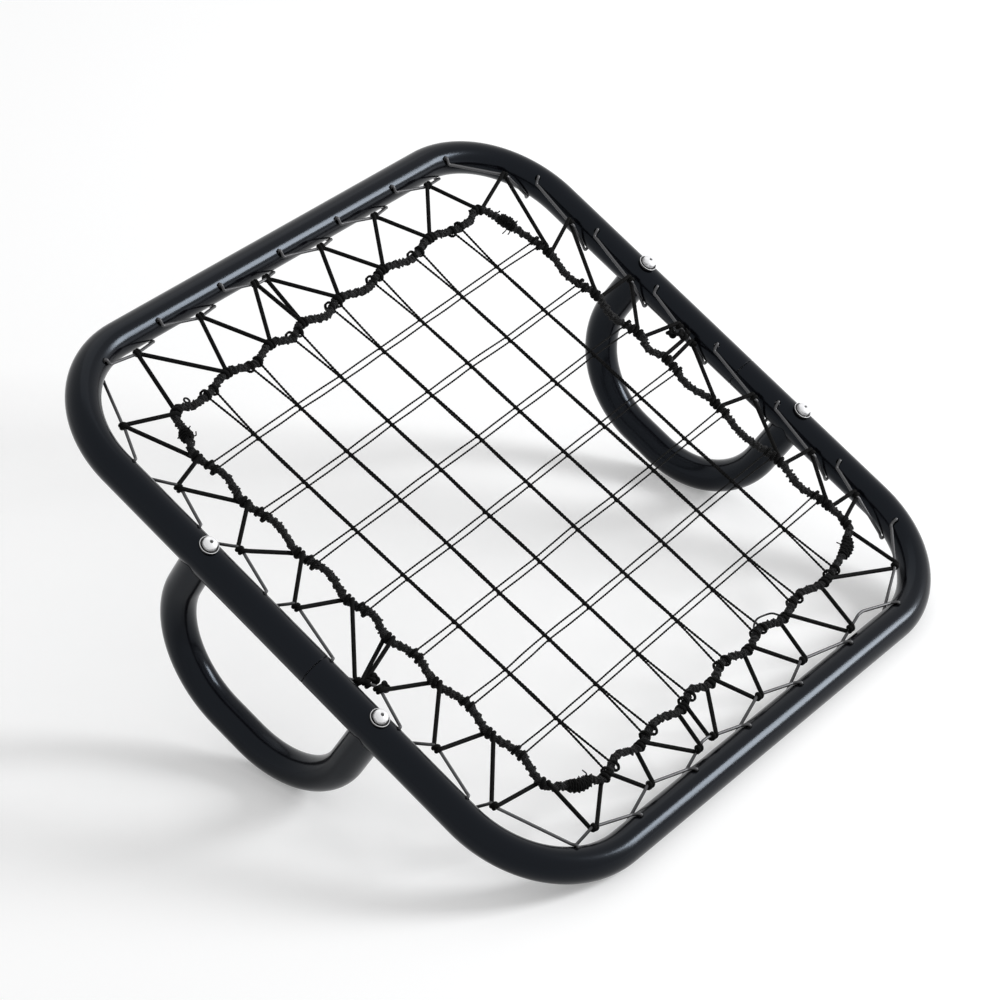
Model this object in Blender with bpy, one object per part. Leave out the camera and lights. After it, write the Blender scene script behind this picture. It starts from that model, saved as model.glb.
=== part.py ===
"""Soccer rebounder: a square tube frame on two U legs, with a net laced in by elastic cord.

The parts are laid out flat first, in the frame's own plane: X across, Y from the bottom
rail to the top rail, Z out of the front face. The whole frame then leans back about X
until the bottom rail and the lower bends of the legs stand on the ground at Z = 0.
All sizes are in metres.
"""
import math

import bmesh
import bpy
from mathutils import Matrix, Vector

# Clearances between neighbouring pieces
SEAT_GAP = 0.0003
BOLT_CLEARANCE = 0.0003

# Round tube that the frame and the legs are bent from
TUBE_RADIUS = 0.015
TUBE_WALL = 0.0015

# Frame, measured on the axis of its tube
FRAME_HALF = 0.300
CORNER_RADIUS = 0.098
SEAM_DROP = 0.033
SLEEVE_LENGTH = 0.110

# Legs, measured on the axis of their tube
BOLT_SPAN_HALF = 0.099
LEG_DEPTH = 0.134
LEG_BEND = 0.084
LEG_RAKE = 0.010
LEG_LEAN = math.radians(4.0)

# Bolts, cup washers and the threaded plugs inside the legs
BOLT_RADIUS = 0.004
BOLT_LENGTH = 0.060
BOLT_TIP_CHAMFER = 0.0006
HEAD_RADIUS = 0.0065
HEAD_EDGE = 0.003
HEAD_HEIGHT = 0.006
HEAD_DOME_ANGLES = (math.radians(30), math.radians(60))
WASHER_RADIUS = 0.0085
WASHER_THICKNESS = 0.0018
WASHER_RIM = 0.0012
WASHER_RECESS = 0.0008
PLUG_LENGTH = 0.018
PLUG_INSET = 0.009

# Anchor wire, threaded through holes along the inner side of the frame
WIRE_RADIUS = 0.0012
WIRE_HOLE_RADIUS = 0.0025
WIRE_HOLE_OFFSET = 0.009
WIRE_REACH = 0.024
WIRE_BEND_HALF = 0.004
WIRE_LEAD = 0.0025
WIRE_STANDOFF = 0.002
FRONT_SHOULDER_ANGLE = math.radians(34)
BACK_SHOULDER_ANGLE = math.radians(-15)

# Wire holes: how many fit along one side and its corner, how many each side has, and
# how far clockwise of the side's middle they are centred, in hole pitches
HOLE_PITCHES_PER_SIDE = 7.2
HOLE_ROWS = {"top": (7, -0.14), "right": (7, 0.03), "bottom": (7, 0.28), "left": (6, 0.01)}

# Bends of the wire between its holes, clockwise of each side's middle, in hole pitches
WIRE_BENDS = {
    "top": (-2.67, -1.64, -0.62, 0.40, 1.355, 2.335, 3.77),
    "right": (-2.245, -1.265, -0.36, 0.80, 1.74, 2.45, 3.805),
    "bottom": (-2.205, -1.03, -0.17, 0.85, 1.86, 2.88, 4.44),
    "left": (-1.885, -1.02, 0.205, 1.06, 2.00, 3.03)}

# Where each lacing cord goes round the wire, given as the bends are
LACING_EYES = {
    "upper": {
        "left": (-0.89, -0.80, 0.205, 1.06, 2.00, 3.03),
        "top": (-2.67, -1.64, -0.72, -0.50, 0.40, 1.355, 2.335),
        "right": (-3.43, -2.245, -1.24, -0.425)},
    "lower": {
        "right": (-0.31, -0.187, 0.80, 1.74, 2.45),
        "bottom": (-3.395, -2.00, -1.03, -0.17, 0.72, 0.97, 1.86, 2.88),
        "left": (-2.76, -1.885, -1.02)}}

# Where it goes round the border rope in between, in net pitches
LACING_TURNS = {
    "upper": {
        "left": (-0.56, 0.24, 1.22, 2.30, 3.27),
        "top": (-3.67, -2.49, -1.48, -0.71, 0.18, 1.27, 2.45, 3.63),
        "right": (-2.78, -1.74, -0.82)},
    "lower": {
        "right": (-0.21, 0.82, 2.18, 3.18, 3.57),
        "bottom": (-2.73, -1.565, -0.56, 0.45, 1.22, 2.30, 3.18),
        "left": (-3.53, -2.52, -1.48)}}

# Elastic lacing cord and the knots at its ends
LACING_RADIUS = 0.0021
KNOT_RADIUS = 0.0055
KNOT_SEGMENTS = 8
KNOT_RINGS = 6
CORD_GAP = 0.0006

# Border rope around the net, and the lashings at its corners
LACING_WIDTH = 0.0735
ROPE_RADIUS = 0.0035
ROPE_CORNER = 0.030
ROPE_SCALLOP = 0.007
ROPE_CREST_HALF = 0.004
ROPE_CREST_SPACING = 0.012
CORNER_STEPS = 4
CORNER_CLEARANCE = 1.5
LASHING_WALL = 0.002
LASHING_SETBACK = 0.0022
LASHING_SIDES = 8

# Net of doubled strands, which hangs a little low and a little turned in its lacing
NET_HEIGHT = 0.010
NET_DROP = 0.0078
NET_SHIFT = 0.001
NET_TURN = math.radians(2.3)
MESHES_PER_SIDE = 8
STRAND_WIDTH = 0.0017
STRAND_THICKNESS = 0.0018
PAIR_OPENING = 0.0022
LOOP_HALF = 0.005
LOOP_GAP = 0.0007

# Roundness of the meshes
TUBE_SIDES = 14
BEND_STEPS = 7
TURNED_SIDES = 12
HOLE_SIDES = 6
COPE_SIDES = 56
CORD_STEPS = 2
LACING_STEPS = 1
SHARP_ANGLE = math.radians(40)

# Sizes that follow from the ones above
TUBE_BORE = TUBE_RADIUS - TUBE_WALL
ROPE_HALF = FRAME_HALF - LACING_WIDTH
NET_PITCH = 2 * (ROPE_HALF + ROPE_SCALLOP / 2) / MESHES_PER_SIDE
CUTTER_REACH = 1.5 * TUBE_RADIUS
COPE_REACH = BOLT_SPAN_HALF + 2 * TUBE_RADIUS
FRONT = Vector((0, 0, 1))
SIDES = {"left": -1, "right": 1}
ENDS = {"lower": -1, "upper": 1}
QUARTER_TURNS = {"top": 0, "right": 1, "bottom": 2, "left": 3}


def clear_scene():
    for item in list(bpy.data.objects):
        bpy.data.objects.remove(item, do_unlink=True)


def make_material(name, colour, roughness, metallic):
    material = bpy.data.materials.new(name)
    material.use_nodes = True
    shader = material.node_tree.nodes["Principled BSDF"]
    shader.inputs["Base Color"].default_value = (*colour, 1)
    shader.inputs["Roughness"].default_value = roughness
    shader.inputs["Metallic"].default_value = metallic
    return material


def add_object(name, data, material, parent):
    item = bpy.data.objects.new(name, data)
    bpy.context.scene.collection.objects.link(item)
    data.materials.append(material)
    item.parent = parent
    return item


def mesh_from(bm, name):
    bmesh.ops.recalc_face_normals(bm, faces=bm.faces)
    mesh = bpy.data.meshes.new(name)
    bm.to_mesh(mesh)
    bm.free()
    mesh.shade_smooth()
    mesh.set_sharp_from_angle(angle=SHARP_ANGLE)
    return mesh


def rounded_path(corners, radius, steps=BEND_STEPS):
    """An open path through the corners, each one rounded to the radius."""
    points = [corners[0].copy()]
    for before, corner, after in zip(corners, corners[1:], corners[2:]):
        back = (before - corner).normalized()
        ahead = (after - corner).normalized()
        half_angle = back.angle(ahead) / 2
        centre = corner + (back + ahead).normalized() * radius / math.sin(half_angle)
        first = corner + back * radius / math.tan(half_angle) - centre
        last = corner + ahead * radius / math.tan(half_angle) - centre
        for step in range(steps + 1):
            points.append(centre + first.slerp(last, step / steps) * radius)
    points.append(corners[-1].copy())
    return points


def path_tangents(points):
    """The direction of travel at each point, square to both ends."""
    tangents = []
    for index in range(len(points)):
        before = points[max(index - 1, 0)]
        after = points[min(index + 1, len(points) - 1)]
        here = points[index]
        ahead = (after - here).normalized()
        behind = (here - before).normalized()
        tangents.append((ahead + behind).normalized())
    return tangents


def tube_mesh(name, points, plane_normal, outer, bore, sides=TUBE_SIDES):
    """A hollow tube with open ends, swept along a path that lies in one plane."""
    bm = bmesh.new()
    rings = {}
    for radius in (outer, bore):
        rings[radius] = []
        for point, tangent in zip(points, path_tangents(points)):
            across = tangent.cross(plane_normal).normalized()
            ring = []
            for step in range(sides):
                angle = 2 * math.pi * step / sides
                offset = across * math.cos(angle) + plane_normal * math.sin(angle)
                ring.append(bm.verts.new(point + offset * radius))
            rings[radius].append(ring)
    for radius in (outer, bore):
        for ring, following in zip(rings[radius], rings[radius][1:]):
            bridge_rings(bm, ring, following)
    for end in (0, -1):
        bridge_rings(bm, rings[outer][end], rings[bore][end])
    return mesh_from(bm, name)


def bridge_rings(bm, ring, following):
    count = len(ring)
    for step in range(count):
        after = (step + 1) % count
        bm.faces.new((ring[step], ring[after], following[after], following[step]))


def turned_mesh(name, profile, sides=TURNED_SIDES):
    """A body turned about Z from a closed profile of (radius, height) points."""
    bm = bmesh.new()
    rings = []
    for radius, height in profile:
        if radius == 0:
            rings.append([bm.verts.new((0, 0, height))])
            continue
        ring = []
        for step in range(sides):
            angle = 2 * math.pi * step / sides
            ring.append(bm.verts.new((radius * math.cos(angle), radius * math.sin(angle), height)))
        rings.append(ring)
    for ring, following in zip(rings, rings[1:] + rings[:1]):
        if len(ring) == 1 and len(following) == 1:
            continue
        if len(ring) == 1 or len(following) == 1:
            tip, base = (ring, following) if len(ring) == 1 else (following, ring)
            for step in range(sides):
                bm.faces.new((tip[0], base[step], base[(step + 1) % sides]))
            continue
        bridge_rings(bm, ring, following)
    return mesh_from(bm, name)


def add_rod(bm, start, end, radius, sides):
    """A closed straight rod between two points, added to a mesh that cuts holes."""
    axis = end - start
    turn = axis.to_track_quat("Z", "Y").to_matrix().to_4x4()
    place = Matrix.Translation((start + end) / 2) @ turn
    bmesh.ops.create_cone(
        bm, cap_ends=True, segments=sides, radius1=radius, radius2=radius,
        depth=axis.length, matrix=place)


def add_cutter(name, bm, parent):
    mesh = bpy.data.meshes.new(name)
    bmesh.ops.recalc_face_normals(bm, faces=bm.faces)
    bm.to_mesh(mesh)
    bm.free()
    item = bpy.data.objects.new(name, mesh)
    bpy.context.scene.collection.objects.link(item)
    item.parent = parent
    item.hide_render = True
    item.display_type = "WIRE"
    return item


def cut_with(item, cutter):
    modifier = item.modifiers.new(cutter.name, "BOOLEAN")
    modifier.operation = "DIFFERENCE"
    modifier.solver = "EXACT"
    modifier.object = cutter


def cord_curve(name, points, radius, closed, steps=CORD_STEPS):
    """A round cord through the points."""
    curve = bpy.data.curves.new(name, "CURVE")
    curve.dimensions = "3D"
    curve.bevel_depth = radius
    curve.bevel_resolution = steps
    curve.use_fill_caps = not closed
    spline = curve.splines.new("POLY")
    spline.points.add(len(points) - 1)
    for target, point in zip(spline.points, points):
        target.co = (*point, 1)
    spline.use_cyclic_u = closed
    return curve


# Places around a rounded square

def square_place(distance, half, corner):
    """A point on a rounded square and its inward direction, at a distance from the top's middle.

    The distance runs clockwise, as seen from the front.
    """
    straight = half - corner
    side_length = 2 * straight + corner * math.pi / 2
    side = math.floor(distance / side_length + 0.5)
    along = distance - side * side_length
    reach = math.copysign(1, along)
    if abs(along) <= straight:
        point = Vector((along, half, 0))
        inward = Vector((0, -1, 0))
    else:
        angle = (abs(along) - straight) / corner
        outward = Vector((reach * math.sin(angle), math.cos(angle), 0))
        point = Vector((reach * straight, straight, 0)) + outward * corner
        inward = -outward
    turn = Matrix.Rotation(-side * math.pi / 2, 3, "Z")
    return turn @ point, turn @ inward


def frame_side_length():
    return 2 * (FRAME_HALF - CORNER_RADIUS) + CORNER_RADIUS * math.pi / 2


def rope_side_length():
    return 2 * (ROPE_HALF - ROPE_CORNER) + ROPE_CORNER * math.pi / 2


def hole_pitch():
    return frame_side_length() / HOLE_PITCHES_PER_SIDE


def distances_along(rows, pitch, side_length):
    """Distances clockwise from the top's middle, for places given in pitches side by side."""
    distances = []
    for side, places in rows.items():
        for place in places:
            distances.append(QUARTER_TURNS[side] * side_length + place * pitch)
    return distances


def hole_distances():
    """How far along the frame's tube each wire hole lies."""
    rows = {}
    for side, (count, shift) in HOLE_ROWS.items():
        rows[side] = [shift + index - (count - 1) / 2 for index in range(count)]
    return distances_along(rows, hole_pitch(), frame_side_length())


def place_between(stations, distance, around):
    """What stations along a closed way give at a distance between two of them."""
    start = stations[0][0]
    distance = start + (distance - start) % around
    following = stations[1:] + [(start + around, *stations[0][1:])]
    for here, after in zip(stations, following):
        if distance <= after[0]:
            share = (distance - here[0]) / (after[0] - here[0])
            return [low + (high - low) * share for low, high in zip(here[1:], after[1:])]


def frame_tube_place(distance, inset, height):
    """A point beside the frame's tube axis: inset towards the net, height to the front."""
    point, inward = square_place(distance, FRAME_HALF, CORNER_RADIUS)
    return point + inward * inset + FRONT * height


# Frame

def frame_upper_path():
    seam = -SEAM_DROP + SEAT_GAP / 2
    corners = [
        Vector((FRAME_HALF, seam, 0)), Vector((FRAME_HALF, FRAME_HALF, 0)),
        Vector((-FRAME_HALF, FRAME_HALF, 0)), Vector((-FRAME_HALF, seam, 0))]
    return rounded_path(corners, CORNER_RADIUS)


def frame_lower_path():
    seam = -SEAM_DROP - SEAT_GAP / 2
    corners = [
        Vector((-FRAME_HALF, seam, 0)), Vector((-FRAME_HALF, -FRAME_HALF, 0)),
        Vector((FRAME_HALF, -FRAME_HALF, 0)), Vector((FRAME_HALF, seam, 0))]
    return rounded_path(corners, CORNER_RADIUS)


def make_hole_cutter(parent):
    """One cutter with every wire hole and every bolt hole of the frame."""
    bm = bmesh.new()
    for distance in hole_distances():
        start = frame_tube_place(distance, WIRE_HOLE_OFFSET, -CUTTER_REACH)
        end = frame_tube_place(distance, WIRE_HOLE_OFFSET, CUTTER_REACH)
        add_rod(bm, start, end, WIRE_HOLE_RADIUS, HOLE_SIDES)
    for side in SIDES.values():
        for end in ENDS.values():
            middle = Vector((side * FRAME_HALF, end * BOLT_SPAN_HALF, 0))
            reach = bolt_axis(side) * CUTTER_REACH
            radius = BOLT_RADIUS + BOLT_CLEARANCE
            add_rod(bm, middle - reach, middle + reach, radius, TURNED_SIDES)
    return add_cutter("frame_hole_cutter", bm, parent)


def make_frame(parent, material, cutter):
    for name, path in (("frame_upper_u", frame_upper_path()), ("frame_lower_u", frame_lower_path())):
        mesh = tube_mesh(name, path, FRONT, TUBE_RADIUS, TUBE_BORE)
        cut_with(add_object(name, mesh, material, parent), cutter)


def make_sleeves(parent, material, cutter):
    """The short tubes inside both side rails that line up the two halves of the frame."""
    outer = TUBE_BORE - SEAT_GAP
    for label, side in SIDES.items():
        name = f"joint_sleeve_{label}"
        middle = Vector((side * FRAME_HALF, -SEAM_DROP, 0))
        reach = Vector((0, SLEEVE_LENGTH / 2, 0))
        mesh = tube_mesh(name, [middle - reach, middle + reach], FRONT, outer, outer - TUBE_WALL)
        cut_with(add_object(name, mesh, material, parent), cutter)


# Legs

def leg_down(side):
    """The way a leg runs from the frame: backwards, leaning in towards the middle."""
    return Vector((-side * math.sin(LEG_LEAN), 0, -math.cos(LEG_LEAN)))


def leg_path(side):
    rail = Vector((side * FRAME_HALF, 0, 0))
    down = leg_down(side)
    foot = down * LEG_DEPTH + Vector((0, LEG_RAKE, 0))
    lower = rail + Vector((0, -BOLT_SPAN_HALF, 0))
    upper = rail + Vector((0, BOLT_SPAN_HALF, 0))
    return rounded_path([lower, lower + foot, upper + foot, upper], LEG_BEND)


def bolt_axis(side):
    """The direction of a leg's arms, from the leg out to the front of the frame."""
    foot = leg_down(side) * LEG_DEPTH + Vector((0, LEG_RAKE, 0))
    return -foot.normalized()


def make_legs(parent, material):
    bm = bmesh.new()
    for side in SIDES.values():
        rail = Vector((side * FRAME_HALF, 0, 0))
        reach = Vector((0, COPE_REACH, 0))
        add_rod(bm, rail - reach, rail + reach, TUBE_RADIUS + SEAT_GAP, COPE_SIDES)
    cope_cutter = add_cutter("leg_cope_cutter", bm, parent)
    for label, side in SIDES.items():
        name = f"leg_{label}"
        plane_normal = leg_down(side).cross(Vector((0, 1, 0)))
        mesh = tube_mesh(name, leg_path(side), plane_normal, TUBE_RADIUS, TUBE_BORE)
        cut_with(add_object(name, mesh, material, parent), cope_cutter)


# Bolts

def bolt_place(side, end, distance):
    """The matrix of a piece on a bolt's axis, its foot at a distance in front of the rail's axis."""
    axis = bolt_axis(side)
    middle = Vector((side * FRAME_HALF, end * BOLT_SPAN_HALF, 0))
    turn = axis.to_track_quat("Z", "Y").to_matrix().to_4x4()
    return Matrix.Translation(middle + axis * distance) @ turn


def bolt_mesh():
    profile = [
        (0, -BOLT_LENGTH), (BOLT_RADIUS - BOLT_TIP_CHAMFER, -BOLT_LENGTH),
        (BOLT_RADIUS, -BOLT_LENGTH + BOLT_TIP_CHAMFER), (BOLT_RADIUS, 0), (HEAD_RADIUS, 0),
        (HEAD_RADIUS, HEAD_EDGE)]
    dome = HEAD_HEIGHT - HEAD_EDGE
    for angle in HEAD_DOME_ANGLES:
        profile.append((HEAD_RADIUS * math.cos(angle), HEAD_EDGE + dome * math.sin(angle)))
    profile.append((0, HEAD_HEIGHT))
    return turned_mesh("bolt", profile)


def washer_mesh():
    bore = BOLT_RADIUS + BOLT_CLEARANCE
    rim = WASHER_RADIUS - WASHER_RIM
    floor = WASHER_THICKNESS - WASHER_RECESS
    profile = [
        (bore, 0), (WASHER_RADIUS, 0), (WASHER_RADIUS, WASHER_THICKNESS),
        (rim, WASHER_THICKNESS), (rim, floor), (bore, floor)]
    return turned_mesh("washer", profile)


def plug_mesh():
    bore = BOLT_RADIUS + BOLT_CLEARANCE
    outer = TUBE_BORE - SEAT_GAP
    profile = [(bore, -PLUG_LENGTH), (outer, -PLUG_LENGTH), (outer, 0), (bore, 0)]
    return turned_mesh("plug", profile, TUBE_SIDES)


def make_fasteners(parent, bolt_material, washer_material, plug_material):
    rake = LEG_RAKE / LEG_DEPTH
    washer_foot = TUBE_RADIUS + SEAT_GAP + WASHER_RADIUS * rake
    head_foot = washer_foot + WASHER_THICKNESS - WASHER_RECESS + SEAT_GAP
    plug_head = -(TUBE_RADIUS + PLUG_INSET)
    bolt = bolt_mesh()
    washer = washer_mesh()
    plug = plug_mesh()
    for label, side in SIDES.items():
        for level, end in ENDS.items():
            place = f"{label}_{level}"
            pieces = [
                (f"leg_bolt_{place}", bolt, bolt_material, head_foot),
                (f"cup_washer_{place}", washer, washer_material, washer_foot),
                (f"leg_plug_{place}", plug, plug_material, plug_head)]
            for name, mesh, material, distance in pieces:
                item = add_object(name, mesh, material, parent)
                item.matrix_local = bolt_place(side, end, distance)


# Anchor wire

def shoulder(angle):
    """How far inset and how far in front the wire lies where it rides over the tube."""
    radius = TUBE_RADIUS + WIRE_RADIUS + WIRE_STANDOFF
    return radius * math.cos(angle), radius * math.sin(angle)


def wire_stations():
    """The wire's way between holes, as distance, inset and height: shoulder, bend, shoulder."""
    around = 4 * frame_side_length()
    holes = hole_distances()
    bends = distances_along(WIRE_BENDS, hole_pitch(), frame_side_length())
    stations = []
    for hole, bend, next_hole in zip(holes, bends, holes[1:] + [holes[0] + around]):
        stations.append((hole + WIRE_LEAD, *shoulder(FRONT_SHOULDER_ANGLE)))
        stations.append((bend - WIRE_BEND_HALF, WIRE_REACH, NET_HEIGHT))
        stations.append((bend + WIRE_BEND_HALF, WIRE_REACH, NET_HEIGHT))
        stations.append((next_hole - WIRE_LEAD, *shoulder(BACK_SHOULDER_ANGLE)))
    return stations


def wire_points():
    """The wire comes up through each hole from behind and hooks over the front of the tube."""
    stations = wire_stations()
    points = []
    for index, hole in enumerate(hole_distances()):
        points.append(frame_tube_place(hole, WIRE_HOLE_OFFSET, -TUBE_RADIUS))
        points.append(frame_tube_place(hole, WIRE_HOLE_OFFSET, TUBE_RADIUS))
        for station in stations[4 * index:4 * index + 4]:
            points.append(frame_tube_place(*station))
    return points


def make_wire(parent, material):
    curve = cord_curve("anchor_wire", wire_points(), WIRE_RADIUS, closed=True)
    add_object("anchor_wire", curve, material, parent)


# Border rope

def net_turn():
    """How the net and its border rope lie in the frame."""
    return Matrix.Translation((NET_SHIFT, -NET_DROP, 0)) @ Matrix.Rotation(NET_TURN, 4, "Z")


def lacing_turns(label):
    return distances_along(LACING_TURNS[label], NET_PITCH, rope_side_length())


def rope_place(distance, outset, height):
    point, inward = square_place(distance, ROPE_HALF, ROPE_CORNER)
    return net_turn() @ (point - inward * outset + FRONT * height)


def rope_stations():
    """The rope's way, as distance and outset: pulled out to a crest at each turn of the lacing."""
    around = 4 * rope_side_length()
    turns = sorted(turn % around for turn in lacing_turns("upper") + lacing_turns("lower"))
    arc = ROPE_CORNER * math.pi / 4
    slack = []
    for turn, after in zip(turns, turns[1:] + [turns[0] + around]):
        slack.append((turn + after) / 2 % around)
    for corner in range(4):
        middle = (corner + 0.5) * rope_side_length()
        reach = CORNER_CLEARANCE * arc
        slack = [distance for distance in slack if abs(distance - middle) > reach]
        for step in range(-CORNER_STEPS, CORNER_STEPS + 1):
            slack.append(middle + arc * step / CORNER_STEPS)
    stations = []
    for turn in turns:
        stations.append((turn - ROPE_CREST_HALF, ROPE_SCALLOP))
        stations.append((turn + ROPE_CREST_HALF, ROPE_SCALLOP))
    for distance in slack:
        if min(abs(distance - turn) for turn in turns) > ROPE_CREST_SPACING:
            stations.append((distance, 0.0))
    return sorted(stations)


def make_rope(parent, material):
    points = [rope_place(distance, outset, NET_HEIGHT) for distance, outset in rope_stations()]
    curve = cord_curve("border_rope", points, ROPE_RADIUS, closed=True)
    add_object("border_rope", curve, material, parent)


# Elastic lacing

def square_turn(place, radius):
    """Four points that take the lacing round a cord, from its front on the inner side."""
    return [place(radius, radius), place(-radius, radius),
            place(-radius, -radius), place(radius, -radius)]


def eye_turn(eye):
    inset, height = place_between(wire_stations(), eye, 4 * frame_side_length())

    def place(inwards, forwards):
        return frame_tube_place(eye, inset + inwards, height + forwards)
    return square_turn(place, WIRE_RADIUS + LACING_RADIUS + CORD_GAP)


def rope_turn(turn):
    def place(inwards, forwards):
        return rope_place(turn, ROPE_SCALLOP + inwards, NET_HEIGHT - forwards)
    return square_turn(place, ROPE_RADIUS + LACING_RADIUS + CORD_GAP)


def lacing_points(label):
    eyes = distances_along(LACING_EYES[label], hole_pitch(), frame_side_length())
    points = eye_turn(eyes[0])
    for turn, eye in zip(lacing_turns(label), eyes[1:]):
        points += rope_turn(turn) + eye_turn(eye)
    return points


def make_lacing(parent, material):
    """Two elastic cords, one over the top and one under the bottom, knotted at both sides."""
    for label in LACING_EYES:
        points = lacing_points(label)
        name = f"lacing_{label}"
        curve = cord_curve(name, points, LACING_RADIUS, False, LACING_STEPS)
        add_object(name, curve, material, parent)
        for end, tip, beside in (("start", points[0], points[1]), ("end", points[-1], points[-2])):
            away = (tip - beside).normalized()
            bm = bmesh.new()
            bmesh.ops.create_uvsphere(
                bm, u_segments=KNOT_SEGMENTS, v_segments=KNOT_RINGS, radius=KNOT_RADIUS)
            mesh = mesh_from(bm, f"lacing_knot_{label}_{end}")
            knot = add_object(mesh.name, mesh, material, parent)
            knot.location = tip + away * (KNOT_RADIUS + SEAT_GAP)


def lashing_points(corner):
    """The longest run of slack rope at a corner, less a little at both ends where it bends."""
    middle = (corner + 0.5) * rope_side_length()
    reach = ROPE_CORNER * math.pi / 4 + SEAT_GAP
    runs = [[]]
    for distance, outset in rope_stations():
        if outset == 0 and abs(distance - middle) < reach:
            runs[-1].append(rope_place(distance, outset, NET_HEIGHT))
        elif runs[-1]:
            runs.append([])
    points = max(runs, key=len)
    start = points[0] + (points[1] - points[0]).normalized() * LASHING_SETBACK
    end = points[-1] + (points[-2] - points[-1]).normalized() * LASHING_SETBACK
    return [start, *points[1:-1], end]


def make_lashings(parent, material):
    """The whipping that closes the border rope at each corner."""
    inner = ROPE_RADIUS + SEAT_GAP
    for corner, label in enumerate(("top_right", "bottom_right", "bottom_left", "top_left")):
        name = f"corner_lashing_{label}"
        points = lashing_points(corner)
        mesh = tube_mesh(name, points, FRONT, inner + LASHING_WALL, inner, LASHING_SIDES)
        add_object(name, mesh, material, parent)


# Net

def make_net(parent, material):
    """A square net of doubled strands, flat in one plane, knotted where its lines cross."""
    bm = bmesh.new()
    lines = range(-(MESHES_PER_SIDE // 2) + 1, MESHES_PER_SIDE // 2)
    knots = {(column, row): net_knot(bm, column, row) for column in lines for row in lines}
    for (column, row), knot in knots.items():
        for quarter in range(4):
            step = Matrix.Rotation(quarter * math.pi / 2, 2) @ Vector((1, 0))
            neighbour = (column + round(step.x), row + round(step.y))
            if neighbour not in knots:
                end_loop(bm, knot, quarter)
            elif quarter < 2:
                join_knots(bm, knot, knots[neighbour], quarter)
    extruded = bmesh.ops.extrude_face_region(bm, geom=list(bm.faces))
    moved = [item for item in extruded["geom"] if isinstance(item, bmesh.types.BMVert)]
    bmesh.ops.translate(bm, vec=(0, 0, STRAND_THICKNESS), verts=moved)
    net = add_object("net", mesh_from(bm, "net"), material, parent)
    height = NET_HEIGHT - STRAND_THICKNESS / 2
    net.matrix_local = net_turn() @ Matrix.Translation((0, 0, height))


def quarter_turn(quarter, centre, along, across):
    """A point given along and across one of a knot's four directions."""
    turned = Matrix.Rotation(quarter * math.pi / 2, 2) @ Vector((along, across))
    return (centre[0] + turned.x, centre[1] + turned.y, 0)


def net_knot(bm, column, row):
    """A small square, with its corners and mid points in turn from the lower right corner."""
    centre = (column * NET_PITCH, row * NET_PITCH)
    verts = []
    for quarter in range(4):
        for across in (-STRAND_WIDTH, 0):
            verts.append(bm.verts.new(quarter_turn(quarter, centre, STRAND_WIDTH, across)))
    bm.faces.new(verts)
    return {"centre": centre, "verts": verts}


def knot_side(knot, quarter):
    """The three corner points of one side of a knot, in turn."""
    verts = knot["verts"]
    start = quarter * 2
    return verts[start], verts[start + 1], verts[(start + 2) % 8]


def join_knots(bm, knot, neighbour, quarter):
    """Two strands from a knot to its neighbour, bowed apart in the middle."""
    low, mid, high = knot_side(knot, quarter)
    far_high, far_mid, far_low = knot_side(neighbour, (quarter + 2) % 4)
    middle = NET_PITCH / 2
    for sign, near, far in ((-1, low, far_low), (1, high, far_high)):
        inner = bm.verts.new(quarter_turn(quarter, knot["centre"], middle, sign * PAIR_OPENING))
        edge = sign * (PAIR_OPENING + STRAND_WIDTH)
        outer = bm.verts.new(quarter_turn(quarter, knot["centre"], middle, edge))
        bm.faces.new((near, mid, inner, outer))
        bm.faces.new((outer, inner, far_mid, far))


def loop_reach(knot, quarter):
    """How far from the net's middle a line's end loop may reach without entering the rope."""
    x, y = knot["centre"]
    side_turns, across = ((1, -y), (0, x), (3, y), (2, -x))[quarter]
    middle = side_turns * rope_side_length() + across
    half = LOOP_HALF + STRAND_WIDTH
    stations = rope_stations()
    around = 4 * rope_side_length()
    outsets = []
    for distance in (middle - half, middle, middle + half):
        outsets += place_between(stations, distance, around)
    slope = math.atan((max(outsets) - min(outsets)) / half)
    return ROPE_HALF + min(outsets) - ROPE_RADIUS / math.cos(slope) - LOOP_GAP


def end_loop(bm, knot, quarter):
    """The loop at the end of a line, which reaches to the border rope."""
    low, mid, high = knot_side(knot, quarter)
    x, y = knot["centre"]
    along = loop_reach(knot, quarter) - (x, y, -x, -y)[quarter]
    strip = [(low, mid)]
    for sign in (-1, 1):
        outer = quarter_turn(quarter, knot["centre"], along, sign * (LOOP_HALF + STRAND_WIDTH))
        inner = quarter_turn(quarter, knot["centre"], along - STRAND_WIDTH, sign * LOOP_HALF)
        strip.append((bm.verts.new(outer), bm.verts.new(inner)))
    strip.append((high, mid))
    for (outer, inner), (next_outer, next_inner) in zip(strip, strip[1:]):
        bm.faces.new((outer, inner, next_inner, next_outer))


# Standing the frame on the ground

def resting_tilt():
    """The lean at which the bottom rail and the lowest point of a leg are level."""
    return max(math.atan2(-point.z, point.y + FRAME_HALF) for point in leg_path(1))


def make_stand():
    tilt = resting_tilt()
    stand = bpy.data.objects.new("stand", None)
    bpy.context.scene.collection.objects.link(stand)
    stand.rotation_euler = (tilt, 0, 0)
    stand.location = (0, 0, FRAME_HALF * math.sin(tilt) + TUBE_RADIUS)
    return stand


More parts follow.
